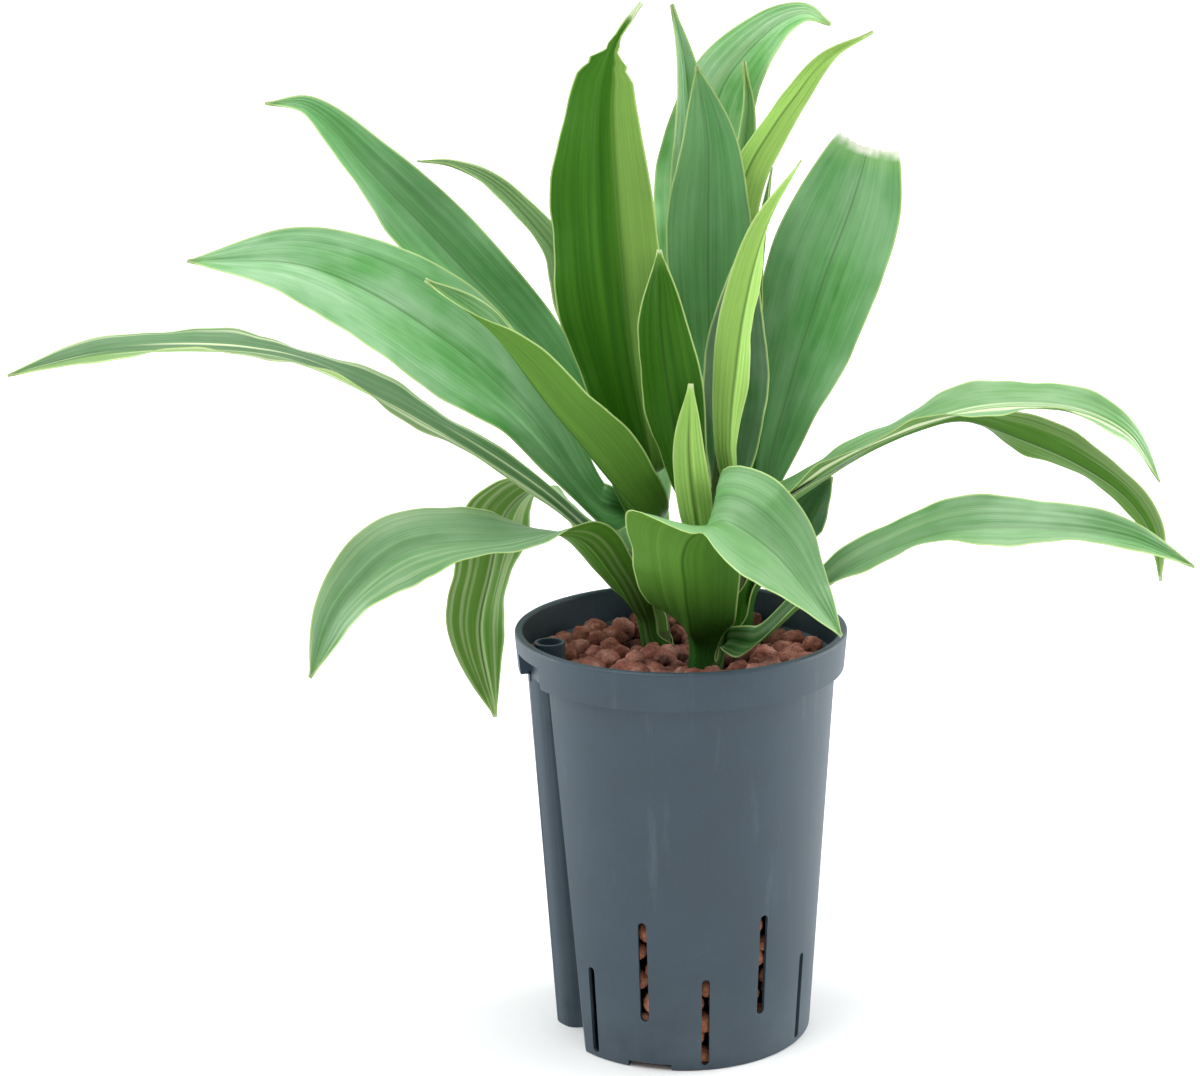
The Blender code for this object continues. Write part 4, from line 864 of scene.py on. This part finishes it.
def pot_outline():
    return rounded([
        (0, 0),
        (FOOT_RADIUS, 0),
        (WALL_TOP_RADIUS, UNDER_BAND),
        (BAND_RADIUS, UNDER_BAND),
        (RIM_RADIUS, POT_HEIGHT),
        (BAND_INNER_RADIUS, POT_HEIGHT),
        (BAND_INNER_RADIUS, INNER_STEP),
        (WALL_TOP_RADIUS - WALL, UNDER_BAND - 1.5 * MM),
        (FOOT_RADIUS - WALL, FLOOR),
        (0, FLOOR),
    ], CORNER_ROUNDS)


def envelope_outline():
    """The middle of the pot's wall: what is added to the pot ends inside it."""
    step = UNDER_BAND + 1 * MM
    in_band = (BAND_RADIUS + BAND_INNER_RADIUS) / 2
    top = LIP_UNDERSIDE + 3 * MM
    return [(0, FLOOR / 2), (FOOT_RADIUS - WALL / 2, FLOOR / 2),
            (wall_radius(step) - WALL / 2, step), (in_band, step), (in_band, top), (0, top)]


def ring_tree():
    """Repeats a cutter round the wall at equal angles, leaving out what would meet the groove."""
    steps, given, out = geometry_tree("openings_round_the_wall", {
        "Count": "Int", "First angle": "Float", "Groove angle": "Float",
        "Clear of groove": "Float"})
    points = steps.out("GeometryNodeMeshLine", {"Count": given["Count"], "Offset": (0, 0, 0)})
    pitch = steps.math("DIVIDE", math.tau, given["Count"])
    index = steps.out("GeometryNodeInputIndex")
    angle = steps.line(index, pitch, given["First angle"])
    off = steps.math("SUBTRACT", angle, given["Groove angle"])
    off = steps.math("ABSOLUTE", steps.math("WRAP", off, math.pi, -math.pi))
    near = steps.out("FunctionNodeCompare", {0: off, 1: given["Clear of groove"]},
                     operation="LESS_THAN")
    ring = steps.shape("InstanceOnPoints", points, {
        "Selection": steps.out("FunctionNodeBooleanMath", {0: near}, operation="NOT"),
        "Instance": given["Geometry"],
        "Rotation": steps.out("ShaderNodeCombineXYZ", {"Z": angle})})
    steps.give(out, {"Geometry": steps.shape("RealizeInstances", ring)})
    return steps


def slot_cutter(slot):
    """An upright slot with round ends at the front, through the wall."""
    radius = slot["width"] / 2
    outline = []
    for centre, start in ((slot["high"] - radius, 0), (slot["low"] + radius, math.pi)):
        for i in range(SLOT_ARC + 1):
            turn = start + math.pi * i / SLOT_ARC
            outline.append((radius * math.cos(turn), centre + radius * math.sin(turn)))
    reaches = (wall_radius(slot["low"]) - 8 * MM, RIM_RADIUS + 5 * MM)
    return loft("slot_cutter", [[Vector((s, -reach, z)) for s, z in outline] for reach in reaches])


def make_pot(finish):
    pot = new_object("pot_shell", lathe("pot_shell", pot_outline(), POT_SIDES))
    envelope = lathe("envelope", envelope_outline(), POT_SIDES)
    helpers = []

    def work(operation, mesh, solver="EXACT", place=(0, 0, 0), target=pot):
        """Adds, takes away or keeps this mesh's space, and returns the mesh's own object."""
        tool = new_object(mesh.name, mesh)
        tool.location = place
        step = target.modifiers.new(operation.lower(), "BOOLEAN")
        step.operation = operation
        step.solver = solver
        step.object = tool
        helpers.append(tool)
        return tool

    for mesh in (
            groove_solid("groove_wall", WALL, 0.5 * MM, GROOVE_TOP + WALL),
            block("groove_backing", GROOVE_ANGLE, (BACKING_RADIUS, BEYOND_POT),
                  GROOVE_TOP_HALF + WALL, (GROOVE_TOP - 1 * MM, LIP_UNDERSIDE + WALL))):
        work("INTERSECT", envelope, target=work("UNION", mesh))
    ring_place = bearing(RING_ANGLE) * RING_CENTRE
    ring = rounded([(0, RING_FOOT), (RING_RADIUS, RING_FOOT), (RING_RADIUS, RING_TOP),
                    (RING_BORE, RING_TOP), (0, RING_TOP)], {2: RING_ROUND})
    work("UNION", lathe("socket_ring", ring, RING_SIDES), place=ring_place)
    work("UNION", block("rim_tab", TAB_ANGLE, TAB_RADII, TAB_HALF, TAB_HEIGHTS))
    low, high = GROOVE_TOP - 4 * MM, RING_TOP + 4 * MM
    bore = [(0, low), (RING_BORE, low), (RING_BORE, high), (0, high)]
    work("DIFFERENCE", lathe("socket_bore", bore, RING_SIDES), place=ring_place)
    for mesh in (
            groove_solid("groove_space", 0, -5 * MM, GROOVE_TOP),
            block("band_cutout", GROOVE_ANGLE, (BACKING_RADIUS + WALL, BEYOND_POT),
                  GROOVE_TOP_HALF, (GROOVE_TOP - 2 * MM, LIP_UNDERSIDE))):
        work("DIFFERENCE", mesh, "MANIFOLD")
    notch = block("notch_cutter", 0, (FOOT_RADIUS - 6 * MM, BEYOND_POT), NOTCH_WIDTH / 2,
                  (-5 * MM, NOTCH_HEIGHT))
    openings = ring_tree()
    for cutter, count, first, clear in (
            (slot_cutter(UPPER_SLOT), SLOT_COUNT, UPPER_SLOT["first"], SLOT_CLEARANCE),
            (slot_cutter(LOWER_SLOT), SLOT_COUNT, LOWER_SLOT["first"], SLOT_CLEARANCE),
            (notch, NOTCH_COUNT, NOTCH_FIRST, 0)):
        ring = worked_mesh("openings", cutter, openings, {
            "Count": count, "First angle": math.radians(first),
            "Groove angle": math.radians(GROOVE_ANGLE), "Clear of groove": math.radians(clear)})
        work("DIFFERENCE", ring, "MANIFOLD")
    mesh = plain_mesh(pot, "culture_pot")
    for item in helpers:
        bpy.data.objects.remove(item, do_unlink=True)
    mesh.materials.clear()
    mesh.materials.append(finish)
    mesh.shade_smooth()
    mesh.set_sharp_from_angle(angle=math.radians(POT_CREASE))
    add_piece("culture_pot", mesh, "pot_plastic", "pot")


# Shoots and clay

def stem_line(name):
    """A shoot's root, direction and length."""
    foot, tip = (Vector(point) * MM for point in STEMS[name])
    along = (tip - foot).normalized()
    root = foot - along * ((foot.z - STEM_ROOT) / along.z)
    return root, along, (tip - root).length


def stem_run(name, height):
    """How far up a shoot from its root this height comes."""
    root, along, _ = stem_line(name)
    return (height - root.z) / along.z


def stem_centre(name, height):
    root, along, _ = stem_line(name)
    return np.array(root + along * stem_run(name, height))


def stem_radius(name, height):
    length = stem_line(name)[2]
    foot = stem_run(name, CLAY_TOP)
    share = min(max((stem_run(name, height) - foot) / (length - foot), 0), 1)
    return STEM_BASE_RADIUS + (STEM_TIP_RADIUS - STEM_BASE_RADIUS) * share


def make_stem(name, finish):
    """A shoot with the low rings that fallen leaves have left."""
    root, along, length = stem_line(name)
    surface = stem_run(name, CLAY_TOP)
    outline = [(0, 0), (STEM_BASE_RADIUS, 0), (STEM_BASE_RADIUS, surface - 10 * MM)]
    for i in range(STEM_RINGS + 1):
        distance = surface - STEM_BARE + (length - surface + STEM_BARE) * i / STEM_RINGS
        radius = stem_radius(name, root.z + along.z * distance) - STEM_BARK
        radius -= SCAR_DEPTH * (i % RINGS_PER_SCAR == RINGS_PER_SCAR - 1)
        outline.append((radius, distance))
    outline += [(1.5 * MM, length + 1.6 * MM), (0, length + 2 * MM)]
    mesh = lathe("shoot_" + name, outline, STEM_SIDES)
    turn = Vector((0, 0, 1)).rotation_difference(along)
    mesh.transform(Matrix.Translation(root) @ turn.to_matrix().to_4x4())
    mesh.materials.append(finish)
    mesh.shade_smooth()
    add_piece("shoot_" + name, mesh, "green_stem", "stem_" + name)


def clay_height(x, y):
    """The clay's surface, which dips round each shoot."""
    feet = [Vector(line[0][:2]) * MM for line in STEMS.values()]
    nearest = min((Vector((x, y)) - foot).length for foot in feet)
    return CLAY_LEVEL - CLAY_DIP * (1 - float(smooth_step(*CLAY_DIP_REACH, nearest)))


def granule_tree():
    """Sets a lumpy, turned granule on each point, as large as the point's size attribute says."""
    steps, given, out = geometry_tree("clay_granules", {
        "Fineness": "Int", "Lumpiness": "Float", "Seed": "Int", "Finish": "Material"})

    def random_vector(low, high, seed):
        return steps.out("FunctionNodeRandomValue", {0: low, 1: high, "Seed": seed},
                         data_type="FLOAT_VECTOR")

    ball = steps.out("GeometryNodeMeshIcoSphere", {
        "Radius": 1.0, "Subdivisions": given["Fineness"]})
    size = steps.out("GeometryNodeInputNamedAttribute", {"Name": "size"})
    squash = random_vector((0.86, 0.86, 0.80), (1.12, 1.12, 1.06), given["Seed"])
    turn = random_vector((0, 0, 0), (math.tau,) * 3, steps.math("ADD", given["Seed"], 5))
    placed = steps.shape("InstanceOnPoints", given["Geometry"], {
        "Instance": ball, "Rotation": turn, "Scale": steps.scaled(squash, size)})
    solid = steps.shape("RealizeInstances", placed)
    place = steps.out("GeometryNodeInputPosition")
    broad = noise(steps, place, 130.0, 1.0, 0.5)
    knobs = steps.out("ShaderNodeTexVoronoi", {"Vector": place, "Scale": 260.0}, "Distance")
    small = noise(steps, place, 620.0, 2.0, 0.5)
    swell = steps.times(steps.math("SUBTRACT", broad, 0.5), 1.3)
    swell = steps.line(steps.math("SUBTRACT", 0.45, knobs), 0.6, swell)
    swell = steps.line(steps.math("SUBTRACT", small, 0.5), 0.5, swell)
    swell = steps.times(swell, given["Lumpiness"])
    push = steps.scaled(steps.out("GeometryNodeInputNormal"), swell)
    smooth = steps.shape("SetShadeSmooth", steps.shape("SetPosition", solid, {"Offset": push}))
    done = steps.shape("SetMaterial", smooth, {"Material": given["Finish"]})
    steps.give(out, {"Geometry": done})
    return steps


def granules(tree, places, fineness, lumpiness, seed, finish):
    """places: one (x, y, z, size) for each granule."""
    mesh = bpy.data.meshes.new("granules")
    mesh.from_pydata([place[:3] for place in places], [], [])
    mesh.attributes.new("size", "FLOAT", "POINT").data.foreach_set(
        "value", [place[3] for place in places])
    made = worked_mesh("granules", mesh, tree, {
        "Fineness": fineness, "Lumpiness": lumpiness, "Seed": seed, "Finish": finish})
    keep_in_pot(made)
    return made


def keep_in_pot(mesh):
    """Presses granules flat where they would pass through the pot's wall."""
    points = np.empty(len(mesh.vertices) * 3, np.float32)
    mesh.vertices.foreach_get("co", points)
    points = points.reshape(-1, 3).astype(float)
    limit = np.where(points[:, 2] > INNER_STEP, BAND_INNER_RADIUS,
                     wall_radius(points[:, 2]) - WALL) - CLAY_AT_WALL
    reach = np.hypot(points[:, 0], points[:, 1])
    points[:, :2] *= np.minimum(1, limit / reach)[:, None]
    points[:, 2] = np.maximum(points[:, 2], FLOOR + GAP)
    mesh.vertices.foreach_set("co", points.astype(np.float32).ravel())


def clear_of_groove(x, y, margin):
    """Whether a granule's place is clear of the groove and its socket ring."""
    place = Vector((x, y, 0))
    r = place.dot(bearing(GROOVE_ANGLE))
    s = place.dot(bearing(GROOVE_ANGLE + 90))
    ring = bearing(RING_ANGLE) * RING_CENTRE
    in_groove = r > wall_radius(CLAY_LEVEL) - GROOVE_DEPTH - margin and abs(s) < GROOVE_TOP_HALF
    return not in_groove and (place - ring).length > RING_RADIUS + margin


def top_granules(rng, reach):
    """Places and sizes of the granules that show, in loose rows across the pot."""
    row_pitch = GRANULE_PITCH * GRANULE_ROWS
    rows = int(2 * reach / row_pitch) + 2
    places = []
    for row in range(-rows // 2, rows // 2 + 1):
        for column in range(-rows // 2, rows // 2 + 1):
            x = (column + 0.5 * (row % 2)) * GRANULE_PITCH
            x += rng.uniform(-GRANULE_SHIFT, GRANULE_SHIFT)
            y = row * row_pitch + rng.uniform(-GRANULE_SHIFT, GRANULE_SHIFT)
            radius = rng.uniform(GRANULE_SMALLEST, GRANULE_LARGEST)
            height = clay_height(x, y) + rng.uniform(-GRANULE_LIFT, GRANULE_LIFT)
            if math.hypot(x, y) > reach - CLEAR_OF_WALL * radius:
                continue
            # Seven draws that nothing uses: they keep every later granule where it is.
            rng.uniform(size=4)
            rng.normal(size=3)
            if clear_of_groove(x, y, CLEAR_OF_GROOVE * radius):
                places.append((x, y, height + GRANULE_RAISED, GRANULE_CORE * radius))
    return places


def lower_granules(rng, top, reach):
    """Small granules in the hollows between the top ones."""
    places = []
    for x, y, height, _ in top:
        x, y = x + rng.uniform(4, 8) * MM, y + rng.uniform(3, 6) * MM
        if math.hypot(x, y) < reach - 3 * MM and clear_of_groove(x, y, 4 * MM):
            height -= rng.uniform(3, 7) * MM
            places.append((x, y, height, rng.uniform(*SMALL_GRANULES)))
    return places


def wall_granules(rng):
    """Small granules in layers behind the slots, with none at the groove."""
    places = []
    for layer in range(WALL_LAYERS):
        for k in range(WALL_GRANULES):
            radius = rng.uniform(*SMALL_GRANULES)
            turn = (k + 0.5 * (layer % 2) + rng.uniform(-0.2, 0.2)) * 360 / WALL_GRANULES
            off = (turn - GROOVE_ANGLE + 180) % 360 - 180
            if abs(off) < GROOVE_CLEAR_ANGLE:
                continue
            z = WALL_LAYER_FIRST + layer * WALL_LAYER_PITCH + rng.uniform(-1.5, 1.5) * MM
            place = bearing(turn) * (wall_radius(z) - WALL - radius * 0.96)
            places.append((place.x, place.y, z, radius))
    return places


def make_clay(finish, slot_side_finish, shade_core_finish):
    rng = np.random.default_rng(CLAY_SEED)
    reach = wall_radius(CLAY_LEVEL) - WALL - GAP
    top = top_granules(rng, reach)
    between = lower_granules(rng, top, reach)
    at_wall = wall_granules(rng)
    # A near-black core under the granules: painted shade seen through their gaps.
    heights = (0, 90 * MM, CLAY_LEVEL - CORE_DROP)
    sides = [(wall_radius(height) - CORE_INSET, max(height, FLOOR + 1 * MM)) for height in heights]
    core = lathe("clay_core", [(0, sides[0][1]), *sides, (0, sides[-1][1])], CORE_SIDES)
    core.materials.append(shade_core_finish)
    tree = granule_tree()
    layers = {
        "clay_top": granules(tree, top, fineness=4, lumpiness=2.6 * MM, seed=3, finish=finish),
        "clay_between": granules(
            tree, between, fineness=3, lumpiness=2.0 * MM, seed=9, finish=finish),
        "clay_at_wall": granules(
            tree, at_wall, fineness=2, lumpiness=1.6 * MM, seed=21, finish=slot_side_finish),
        "clay_inside": core,
    }
    for name, mesh in layers.items():
        add_piece(name, mesh, "expanded_clay", "clay", "clay_granules")


# Blades

def unit(vectors):
    return vectors / np.linalg.norm(vectors, axis=-1, keepdims=True)


def leaf_width(leaf, share, base_half):
    """Half the blade's width at each share of its length."""
    most = leaf["width"] * MM / 2
    neck = leaf.get("neck", NECK_SHARE * leaf["width"] / 2 + NECK_EXTRA) * MM
    neck = min(most, neck)
    widest = leaf["widest"]
    belly = neck + (most - neck) * smooth_step(0.05, widest, share)
    beyond = np.clip((share - widest) / (1 - widest), 0, 1)
    end = leaf.get("cut_width", 0) * MM / 2
    taper = (1 - beyond**TAPER[0]) ** TAPER[1]
    half = np.where(share < widest, belly, end + (most - end) * taper)
    half = base_half + (half - base_half) * smooth_step(0, 0.1, share)
    if "snapped" in leaf:
        start = leaf["snapped"] - TORN_LENGTH
        notched = TORN_NOTCH * (1 + np.sin(TORN_NOTCHES * share))
        torn = 1 - notched * smooth_step(start, start + TORN_STEP, share)
        left = TORN_HALF * (1 - smooth_step(leaf["snapped"], 1, share))
        half = np.maximum(half * torn * (1 - smooth_step(start, leaf["snapped"], share)), left)
    return np.maximum(half, TIP_WIDTH / 2)


def sheath_rows(leaf, out, parts, top_wrap):
    """Rows of a leaf's sheath from its lower end up, ever less closely wrapped round the shoot."""
    along = stem_line(leaf["stem"])[1]
    top = leaf["height"] * MM
    length = min(SHEATH_LENGTH, top - CLAY_TOP + SHEATH_SUNK)
    side = np.cross(along, -out)
    rows, halves, distances = [], [], []
    for k in range(SHEATH_ROWS, 0, -1):
        drop = k / SHEATH_ROWS
        height = top - drop * length
        radius = stem_radius(leaf["stem"], height) + (GAP + BLADE / 2) * (1 - 0.65 * drop)
        wrap = top_wrap + (math.radians(SHEATH_WRAP) - top_wrap) * smooth_step(0, 0.8, drop)
        turn = (parts * wrap)[:, None]
        centre = stem_centre(leaf["stem"], height)
        rows.append(centre + radius * (np.cos(turn) * out + np.sin(turn) * side))
        halves.append(radius * wrap)
        distances.append(-drop * length)
    return np.array(rows), halves, distances


def wander(rng, count, share, size):
    """A slow random drift along a blade, made of a few sine waves."""
    drift = np.zeros_like(share)
    for k in range(1, count + 1):
        drift += rng.normal() / k * np.sin(math.tau * k * 1.3 * share + rng.uniform(0, math.tau))
    return size * drift


def blade_sheet(leaf, rng):
    """The blade's middle surface as rows of points, with each point's place on the leaf."""
    height = leaf["height"] * MM
    along = np.array(stem_line(leaf["stem"])[1])
    out = np.array(bearing(leaf["bearing"]))
    out = unit(out - along * out.dot(along))
    hug = stem_radius(leaf["stem"], height) + GAP + BLADE / 2
    start = stem_centre(leaf["stem"], height) + out * hug
    second = start + along * HUG_LENGTH + out * HUG_OPENING
    route = [start, second] + [np.array(point) * MM for point in leaf["route"]]
    rows = int(path_through(route, 2)[1] / ROW_LENGTH)
    spine, length = path_through(route, rows + 1)
    share = np.linspace(0, 1, rows + 1)

    run = unit(np.gradient(spine, axis=0))
    run[0] = along
    looks = unit(np.array([-out] + [np.array(face, float) for face in leaf["facing"]]))
    facing = np.stack([np.interp(share, FACING_SHARES, looks[:, k]) for k in range(3)], 1)
    normal = unit(facing - run * (facing * run).sum(1, keepdims=True))
    side = np.cross(run, normal)

    wrap = math.radians(leaf["wrap"])
    half = leaf_width(leaf, share, hug * wrap)
    open_out = smooth_step(0, BASE_BLEND / length, share)
    radius = hug + (FOLD_RADIUS - hug) * open_out
    angle = wrap + (math.radians(leaf["fold"]) - wrap) * open_out
    angle = angle + open_out * wander(rng, 4, share, FOLD_WANDER)
    rise, waves, phase = leaf["wave"]
    envelope = smooth_step(0.12, 0.4, share) * (1 - 0.6 * smooth_step(0.8, 1, share))

    edge_bend = np.minimum(half / radius, angle)
    edge_rise = radius * (1 - np.cos(edge_bend)) + (half - edge_bend * radius) * np.sin(edge_bend)
    spine = spine - normal * (0.5 * edge_rise * open_out)[:, None]

    fine_rise, fine_waves, fine_phase = FINE_WAVE
    parts = np.linspace(-1, 1, 2 * HALF_COLUMNS + 1)
    parts = np.sign(parts) * (1 - (1 - np.abs(parts)) ** COLUMN_SPREAD)
    points = np.empty((rows + 1, len(parts), 3))
    for column, part in enumerate(parts):
        arc = abs(part) * half
        bent = np.minimum(arc / radius, angle)
        flat = arc - bent * radius
        sideways = radius * np.sin(bent) + flat * np.cos(bent)
        upward = radius * (1 - np.cos(bent)) + flat * np.sin(bent)
        sign = math.copysign(1, part)
        local = normal * np.cos(bent)[:, None] - sign * side * np.sin(bent)[:, None]
        swell = rise * MM * envelope * abs(part) ** WAVE_GROWTH * half / half.max()
        turn = math.tau * waves * share
        ripple = np.sin(turn + phase + sign * WAVE_LAG)
        ripple += fine_rise * np.sin(fine_waves * turn + fine_phase * phase - sign)
        middle = spine + side * (sign * sideways)[:, None] + normal * upward[:, None]
        middle = middle + local * (swell * ripple)[:, None]
        if "cut_width" in leaf:
            hollow = CUT_DEPTH * (1 - part * part) * smooth_step(0.8, 1, share)
            jag = CUT_JAG * rng.normal() * smooth_step(CUT_FROM, 1, share)
            middle = middle - run * (hollow + jag)[:, None]
        points[:, column] = middle
    lower, halves, distances = sheath_rows(leaf, out, parts, wrap)
    points = np.concatenate([lower, points])
    half = np.concatenate([halves, half])
    distance = np.concatenate([distances, share * length])
    low, high = (np.array(corner) for corner in cad_box)
    points = np.clip(points, low + TIP_INSET, high - TIP_INSET)
    return points, parts, np.maximum(distance / length, 0), half, distance


def blade_tree():
    """Raises long ribs and a midrib on a sheet, then gives it a lower face and edges."""
    sizes = {label: "Float" for label in BLADE_FORM}
    steps, given, out = geometry_tree("ribbed_blade", {
        **sizes, "Upper finish": "Material", "Lower finish": "Material"})

    part, half = (steps.out("GeometryNodeInputNamedAttribute", {"Name": name})
                  for name in ("part", "half"))
    wave = steps.math("COSINE", steps.times(part, given["Ribs"], math.pi))
    fade = steps.math("SUBTRACT", 1.0, steps.math("POWER", steps.math("ABSOLUTE", part), 6.0))
    rib = steps.times(wave, fade, given["Rib height"])
    off = steps.math("DIVIDE", steps.times(part, half), given["Midrib reach"])
    bell = steps.math("EXPONENT", steps.times(off, off, -1.0))
    channel = steps.times(bell, given["Midrib depth"])
    swell = steps.math("SUBTRACT", given["Thickness"], given["Edge thickness"])
    thick = steps.math("ADD", steps.times(swell, fade), given["Edge thickness"])
    lift = steps.line(thick, 0.5, steps.math("SUBTRACT", rib, channel))
    push = steps.scaled(steps.out("GeometryNodeInputNormal"), lift)
    upper = steps.shape("SetPosition", given["Geometry"], {"Offset": push})
    body = steps.line(channel, 1.2, thick)
    under = steps.shape("FlipFaces", steps.shape("ExtrudeMesh", upper, {
        "Offset Scale": steps.times(body, -1.0), "Individual": False}))
    joined = steps.add("GeometryNodeJoinGeometry")
    for face, label in ((under, "Lower finish"), (upper, "Upper finish")):
        face = steps.shape("SetMaterial", face, {"Material": given[label]})
        steps.give(joined.inputs, {0: face})
    sealed = steps.shape("MergeByDistance", joined.outputs[0], {"Distance": SEAL})
    steps.give(out, {"Geometry": steps.shape("SetShadeSmooth", sealed)})
    return steps


def make_leaf(name, leaf, number, tree, upper_finish, lower_finish):
    rng = np.random.default_rng(LEAF_SEED + number)
    points, parts, share, half, distance = blade_sheet(leaf, rng)
    rows, columns = points.shape[:2]
    corners = [row * columns + column for row in range(rows - 1) for column in range(columns - 1)]
    mesh = bpy.data.meshes.new(name)
    mesh.from_pydata(points.reshape(-1, 3).tolist(), [], [
        (a, a + 1, a + columns + 1, a + columns) for a in corners])
    part = np.tile(parts, rows)
    along = np.repeat(share, columns)
    most = leaf["width"] * MM / 2
    # How yellow each half is: its own colour, with painted glow of light through the blade.
    left, right = leaf["pale"]
    rib = leaf["rib"]
    pale = left + (right - left) * smooth_step(rib - HALVES_BLEND, rib + HALVES_BLEND, part)
    dry = TIP_DRY[0] * smooth_step(TIP_DRY[1], 1.0, along)
    if "cut_width" in leaf:
        ragged = along + 0.004 * np.sin(5 * part + 2) + 0.0015 * np.sin(23 * part)
        dry = smooth_step(*CUT_DRY, ragged)
    if "snapped" in leaf:
        torn = leaf["snapped"]
        dry = TORN_DRY[0] * smooth_step(torn, torn + TORN_DRY[1], along)
    marks = {
        "part": part,
        "half": np.repeat(half, columns),
        "pale": np.clip(pale + TIP_PALE[0] * smooth_step(TIP_PALE[1], 1.0, along), 0, 1),
        # The painted sheen grows from the base towards the middle of the blade.
        "painted_sheen": leaf["painted_sheen"] * smooth_step(0.0, 0.5, along),
        "rib": np.abs(part - rib) * most,
        "dry": dry,
        "shade": leaf["shade"] * (1 - smooth_step(0.0, leaf["shade_reach"], along)),
        # Lightness, with painted light and shade.
        "tone": np.full_like(part, leaf["tone"]),
        "stripes": np.full_like(part, leaf["stripes"]),
    }
    for label, values in marks.items():
        mesh.attributes.new(label, "FLOAT", "POINT").data.foreach_set(
            "value", values.astype(np.float32))
    grain = np.stack([part * most, np.repeat(distance, columns),
                      np.full_like(part, number * GRAIN_STEP)], 1)
    mesh.attributes.new("grain", "FLOAT_VECTOR", "POINT").data.foreach_set(
        "vector", grain.astype(np.float32).ravel())
    made = worked_mesh("blade_" + name, mesh, tree, {
        **BLADE_FORM, "Upper finish": upper_finish, "Lower finish": lower_finish})
    made.set_sharp_from_angle(angle=math.radians(BLADE_CREASE))
    slot = "young_leaf" if name in YOUNG_LEAVES else "leaf"
    add_piece("blade_" + name, made, slot, "leaf_" + name)


# Studio

def make_camera():
    ahead = Vector((-math.sin(CAMERA_LEFT) * math.cos(CAMERA_DOWN),
                    math.cos(CAMERA_LEFT) * math.cos(CAMERA_DOWN), -math.sin(CAMERA_DOWN)))
    level = ahead.cross(Vector((0, 0, 1))).normalized()
    upright = level.cross(ahead)
    right = math.cos(CAMERA_ROLL) * level - math.sin(CAMERA_ROLL) * upright
    up = math.sin(CAMERA_ROLL) * level + math.cos(CAMERA_ROLL) * upright
    lens = bpy.data.cameras.new("photo_camera")
    lens.sensor_fit = "HORIZONTAL"
    lens.sensor_width = SENSOR
    lens.lens = FOCAL_PIXELS / PHOTO_WIDTH * SENSOR
    lens.clip_start = CAMERA_NEAR
    lens.clip_end = CAMERA_FAR
    camera = new_object("photo_camera", lens)
    turn = Matrix((right, up, -ahead)).transposed().to_4x4()
    camera.matrix_world = Matrix.Translation(CAMERA_PLACE) @ turn
    bpy.context.scene.camera = camera


def soft_light(name, place, size, power, colour):
    lamp = bpy.data.lights.new(name, "AREA")
    lamp.shape = "SQUARE"
    lamp.size = size
    lamp.energy = power
    lamp.color = colour
    item = new_object(name, lamp)
    item.location = place
    aim = Vector(LIGHTS_AIM) - Vector(place)
    item.rotation_euler = aim.to_track_quat("-Z", "Y").to_euler()


def make_studio():
    shape = bmesh.new()
    bmesh.ops.create_circle(shape, cap_ends=True, radius=FLOOR_RADIUS, segments=96)
    floor = new_object("studio_floor", finish_mesh("studio_floor", shape))
    floor.data.materials.append(floor_finish())
    world = bpy.data.worlds.new("studio")
    world.use_nodes = True
    steps = Tree(world.node_tree)
    toward = steps.out("ShaderNodeTexCoord", output="Generated")
    toward = steps.add("ShaderNodeSeparateXYZ", {"Vector": toward}).outputs
    behind = steps.line(toward["Y"], 0.5, 0.5)
    bright = steps.line(behind, STUDIO_BACK - STUDIO_FRONT, STUDIO_FRONT)
    above = steps.math("MULTIPLY", toward["Z"], STUDIO_ABOVE, clamp=True)
    steps.give(world.node_tree.nodes["Background"].inputs, {
        "Color": STUDIO_COLOUR, "Strength": steps.math("ADD", bright, above)})
    bpy.context.scene.world = world
    for name, (place, size, power, colour) in LIGHTS.items():
        soft_light(name, place, size, power, colour)
    bpy.context.scene.view_settings.view_transform = "Standard"


def main():
    for item in list(bpy.data.objects):
        if item.name in ("Cube", "Light", "Camera"):
            bpy.data.objects.remove(item, do_unlink=True)
    make_camera()
    make_studio()
    make_pot(plastic_finish())
    make_clay(
        clay_finish("expanded_clay", *CLAY_TOP_COLOURS, CLAY_LEVEL),
        clay_finish("expanded_clay_dry", *CLAY_DRY_COLOURS),
        clay_finish("expanded_clay_shaded", *CLAY_CORE_SHADE_COLOURS))
    stem = stem_finish()
    for name in STEMS:
        make_stem(name, stem)
    upper = blade_finish("leaf_upper_skin", **UPPER_SKIN)
    lower = blade_finish("leaf_lower_skin", **LOWER_SKIN)
    tree = blade_tree()
    for number, (name, leaf) in enumerate(LEAVES.items()):
        make_leaf(name, {**USUAL_LEAF, **leaf}, number, tree, upper, lower)


main()
bpy.context.view_layer.update()
